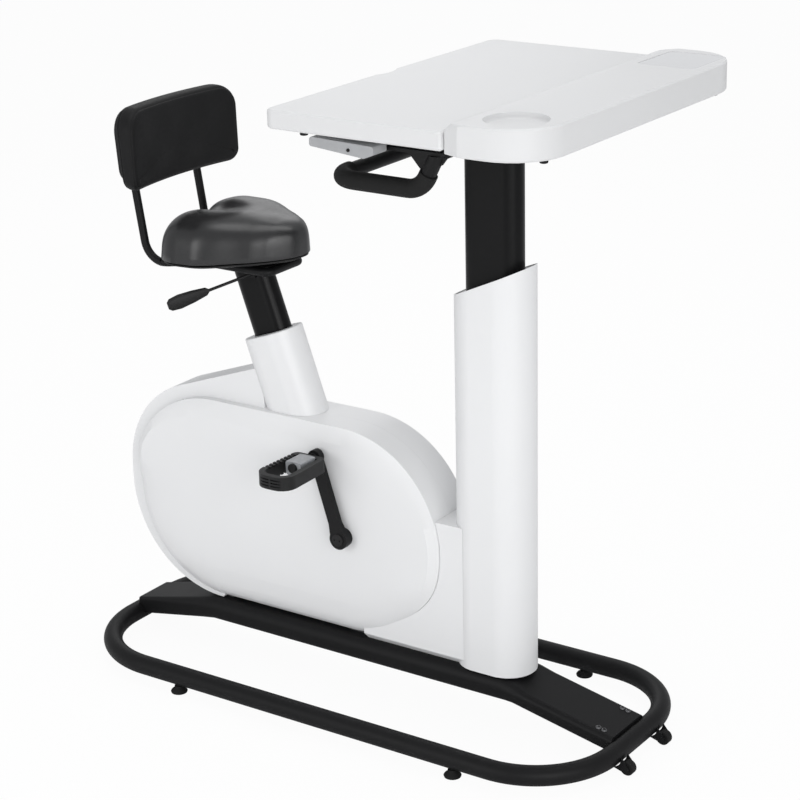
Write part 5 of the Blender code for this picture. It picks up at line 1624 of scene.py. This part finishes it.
def makeBackrest(settings):
    # Rings of the outline drawn inwards make the edge. Beyond it both faces shrink to the middle, the
    # front one crowned and faintly rippled.
    points, outwardWay = padOutline(settings, settings["columns"])
    edge = np.array(settings["edge"])
    rim = points[None] - outwardWay[None] * edge[:, :1, None]
    depth = np.repeat(edge[:, 1:], len(points), 1)
    middle = np.array([0.0, (settings["low"] + settings["high"]) / 2])
    shares = np.linspace(0.0, 1.0, 15)[:-1][:, None, None]
    front = middle + (rim[0] - middle) * shares
    back = middle + (rim[-1] - middle) * shares[::-1]
    crown = -settings["crown"] * (1 - shares[:, :, 0] ** 2) * np.ones((1, len(points)))
    flat = np.full((len(shares), len(points)), edge[-1, 1])
    plan = np.concatenate([front, rim, back])
    away = np.concatenate([crown, depth, flat])[..., None]
    face = plan[:len(shares) + 3]
    away[:len(face)] += settings["ripple"] * np.sin(face[..., :1] * 60) * np.cos(face[..., 1:] * 45)
    grid = backPlace(np.concatenate([away, plan], -1), settings)
    pad = gridPiece("backrest_cover", grid, "backrestSkin", "seat")
    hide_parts(settings["node"])


makeBackrest(backSet)
print("backrest made")


# Screws, caps and bumpers

def spunPiece(name, rings, place, axis, finish, body, count=48, sharp=32):
    grid = moved(spunGrid(rings, count), upright(place, axis))
    return gridPiece(name, grid, finish, body, sharp=sharp)


def buttonScrew(name, place, axis, radius, finish, body):
    # A domed head with a hexagon socket, closed underneath.
    key = radius * 0.50
    rings = [(0.0, -radius * 0.10, 1.0), (key, -radius * 0.10, 1.0), (key, radius * 0.42, 1.0),
             (key * 1.12, radius * 0.45, 0.7), (radius * 0.78, radius * 0.38, 0.0),
             (radius * 0.94, radius * 0.22, 0.0), (radius, radius * 0.05, 0.0), (radius, -radius * 0.05, 0.0),
             (0.0, -radius * 0.05 - 0.0004, 0.0)]
    return spunPiece(name, rings, place, axis, finish, body, 36)


plateSet = {"radius": 0.0058, "lift": 0.0003,
            "places": [(0.5395, -0.046), (0.5275, -0.046), (0.5395, 0.046), (0.5275, 0.046)]}
plateFall = (plateRearTopZ - plateFrontTopZ) / (plateFrontX - plateRearX)
for number, (x, y) in enumerate(plateSet["places"]):
    z = plateRearTopZ - plateFall * (x - plateRearX) + plateSet["lift"]
    buttonScrew("plate_screw_%d" % number, (x, y, z), (plateFall, 0, 1), plateSet["radius"],
                "darkSteel", "base")

capSet = {"radius": 0.0125, "height": 0.0032, "rows": 46, "columns": 120, "underside": 0.0006,
          "holeReach": 0.0062, "holeRadius": 0.0017, "holeDepth": 0.0016}


def makeCrankCap(side, word, settings):
    # A shallow dome over the spindle's end with two round key holes.
    low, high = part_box("crank_arm_" + word)
    rows, reach, rise = settings["rows"], settings["radius"], settings["height"]
    radius = np.concatenate([np.linspace(0, reach * 0.93, rows), [reach, reach, 0.0]])
    height = rise * (1 - 0.25 * (radius / reach) ** 2)
    height[rows:] = [rise * 0.55, -settings["underside"], -settings["underside"]]
    grid = spunGrid(list(zip(radius, height, radius * 0)), settings["columns"])
    for way in (-1, 1):
        away = np.hypot(grid[..., 0] - way * settings["holeReach"], grid[..., 1])
        inside = (away < settings["holeRadius"]) & (np.arange(len(radius))[:, None] < rows)
        grid[..., 2] = np.where(inside, grid[..., 2] - settings["holeDepth"], grid[..., 2])
    face = high[1] if side > 0 else low[1]
    grid = moved(grid, upright((crankX, face, crankZ), (0, side, 0)))
    gridPiece("crank_cap_" + word, grid, "blackMoulding", "crankset", sharp=40)


for side, word in ((-1, "right"), (1, "left")):
    makeCrankCap(side, word, capSet)

bumperSet = {"radius": 0.0085, "height": 0.009, "seat": 0.0004,
             "places": [(0.560, -0.300), (0.560, 0.300), (0.115, -0.345), (0.115, 0.345)]}
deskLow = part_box("desktop_board")[0][2]
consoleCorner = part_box("console")[0]
for number, (x, y) in enumerate(bumperSet["places"]):
    under = consoleCorner[2] if x > consoleCorner[0] else deskLow
    r, h, seat = (bumperSet[key] for key in ("radius", "height", "seat"))
    rings = [(0.0, h, 0), (r * 0.62, h, 0), (r * 0.80, h * 0.92, 0), (r * 0.86, h * 0.75, 0),
             (r * 0.90, 0.0018, 0), (r, 0.0012, 0), (r, -seat, 0), (0.0, -seat, 0)]
    spunPiece("bumper_%d" % number, rings, (x, y, under), (0, 0, -1), "blackRubber", "desk_top")

boltSet = {"radius": 0.0052, "heights": [1.035, 1.092], "sunk": 0.0004}
boltBow = backSagitta * (backTubeY / backHalfWidth) ** 2
boltFootX = backFaceX - backPadThickness - backBoardThickness - 2 * seatGap + boltBow
boltFootX -= backTubeRadius * (1 + 1 / math.cos(backLean)) + boltSet["sunk"]
for y in (-backTubeY, backTubeY):
    for z in boltSet["heights"]:
        x = boltFootX - math.tan(backLean) * (z - backBottomZ)
        buttonScrew("backrest_bolt_%d_%d" % (y * 1000, z * 1000), (x, y, z), (-1, 0, -math.tan(backLean)),
                    boltSet["radius"], "darkSteel", "seat")


# Floor and lamps

def blendForCamera(tree, share, plain, seen, output):
    # Shows the first shader to the scene and, by the given share, the second one to the camera.
    path = tree.nodes.new("ShaderNodeLightPath")
    factor = tree.nodes.new("ShaderNodeMath")
    factor.operation = "MULTIPLY"
    factor.inputs[1].default_value = share
    tree.links.new(path.outputs["Is Camera Ray"], factor.inputs[0])
    blend = tree.nodes.new("ShaderNodeMixShader")
    tree.links.new(factor.outputs[0], blend.inputs[0])
    tree.links.new(plain.outputs[0], blend.inputs[1])
    tree.links.new(seen.outputs[0], blend.inputs[2])
    tree.links.new(blend.outputs[0], tree.nodes[output].inputs[0])


def makeFloor(settings):
    mesh = bpy.data.meshes.new("floor")
    reach = 14.0
    mesh.from_pydata([(-reach, -reach, 0), (reach, -reach, 0), (reach, reach, 0), (-reach, reach, 0)], [],
                     [(0, 1, 2, 3)])
    floor = bpy.data.objects.new("floor", mesh)
    bpy.context.scene.collection.objects.link(floor)
    material = bpy.data.materials.new("floor")
    material.use_nodes = True
    tree = material.node_tree
    shader = tree.nodes["Principled BSDF"]
    shader.inputs["Base Color"].default_value = settings["floorColour"] + (1.0,)
    shader.inputs["Roughness"].default_value = 0.9
    glow = tree.nodes.new("ShaderNodeEmission")
    glow.inputs["Color"].default_value = (1.0, 1.0, 1.0, 1.0)
    glow.inputs["Strength"].default_value = 1.0
    blendForCamera(tree, settings["floorLift"], shader, glow, "Material Output")
    mesh.materials.append(material)


def makeLamps(settings):
    for lamp in settings["lamps"]:
        light = bpy.data.lights.new(lamp["name"], "AREA")
        light.shape = "DISK"
        light.size = lamp["size"]
        light.energy = lamp["power"]
        item = bpy.data.objects.new(lamp["name"], light)
        item.matrix_world = aimed(lamp["place"], lamp["aim"])
        bpy.context.scene.collection.objects.link(item)


def makeWorld(settings):
    world = bpy.data.worlds.new("studio")
    world.use_nodes = True
    tree = world.node_tree
    sky = tree.nodes["Background"]
    sky.inputs["Color"].default_value = settings["worldColour"] + (1.0,)
    sky.inputs["Strength"].default_value = settings["worldStrength"]
    white = tree.nodes.new("ShaderNodeBackground")
    white.inputs["Color"].default_value = (1.0, 1.0, 1.0, 1.0)
    white.inputs["Strength"].default_value = 1.0
    blendForCamera(tree, 1.0, sky, white, "World Output")
    bpy.context.scene.world = world


makeFloor(studio)
makeLamps(studio)
makeWorld(studio)
print("studio made")
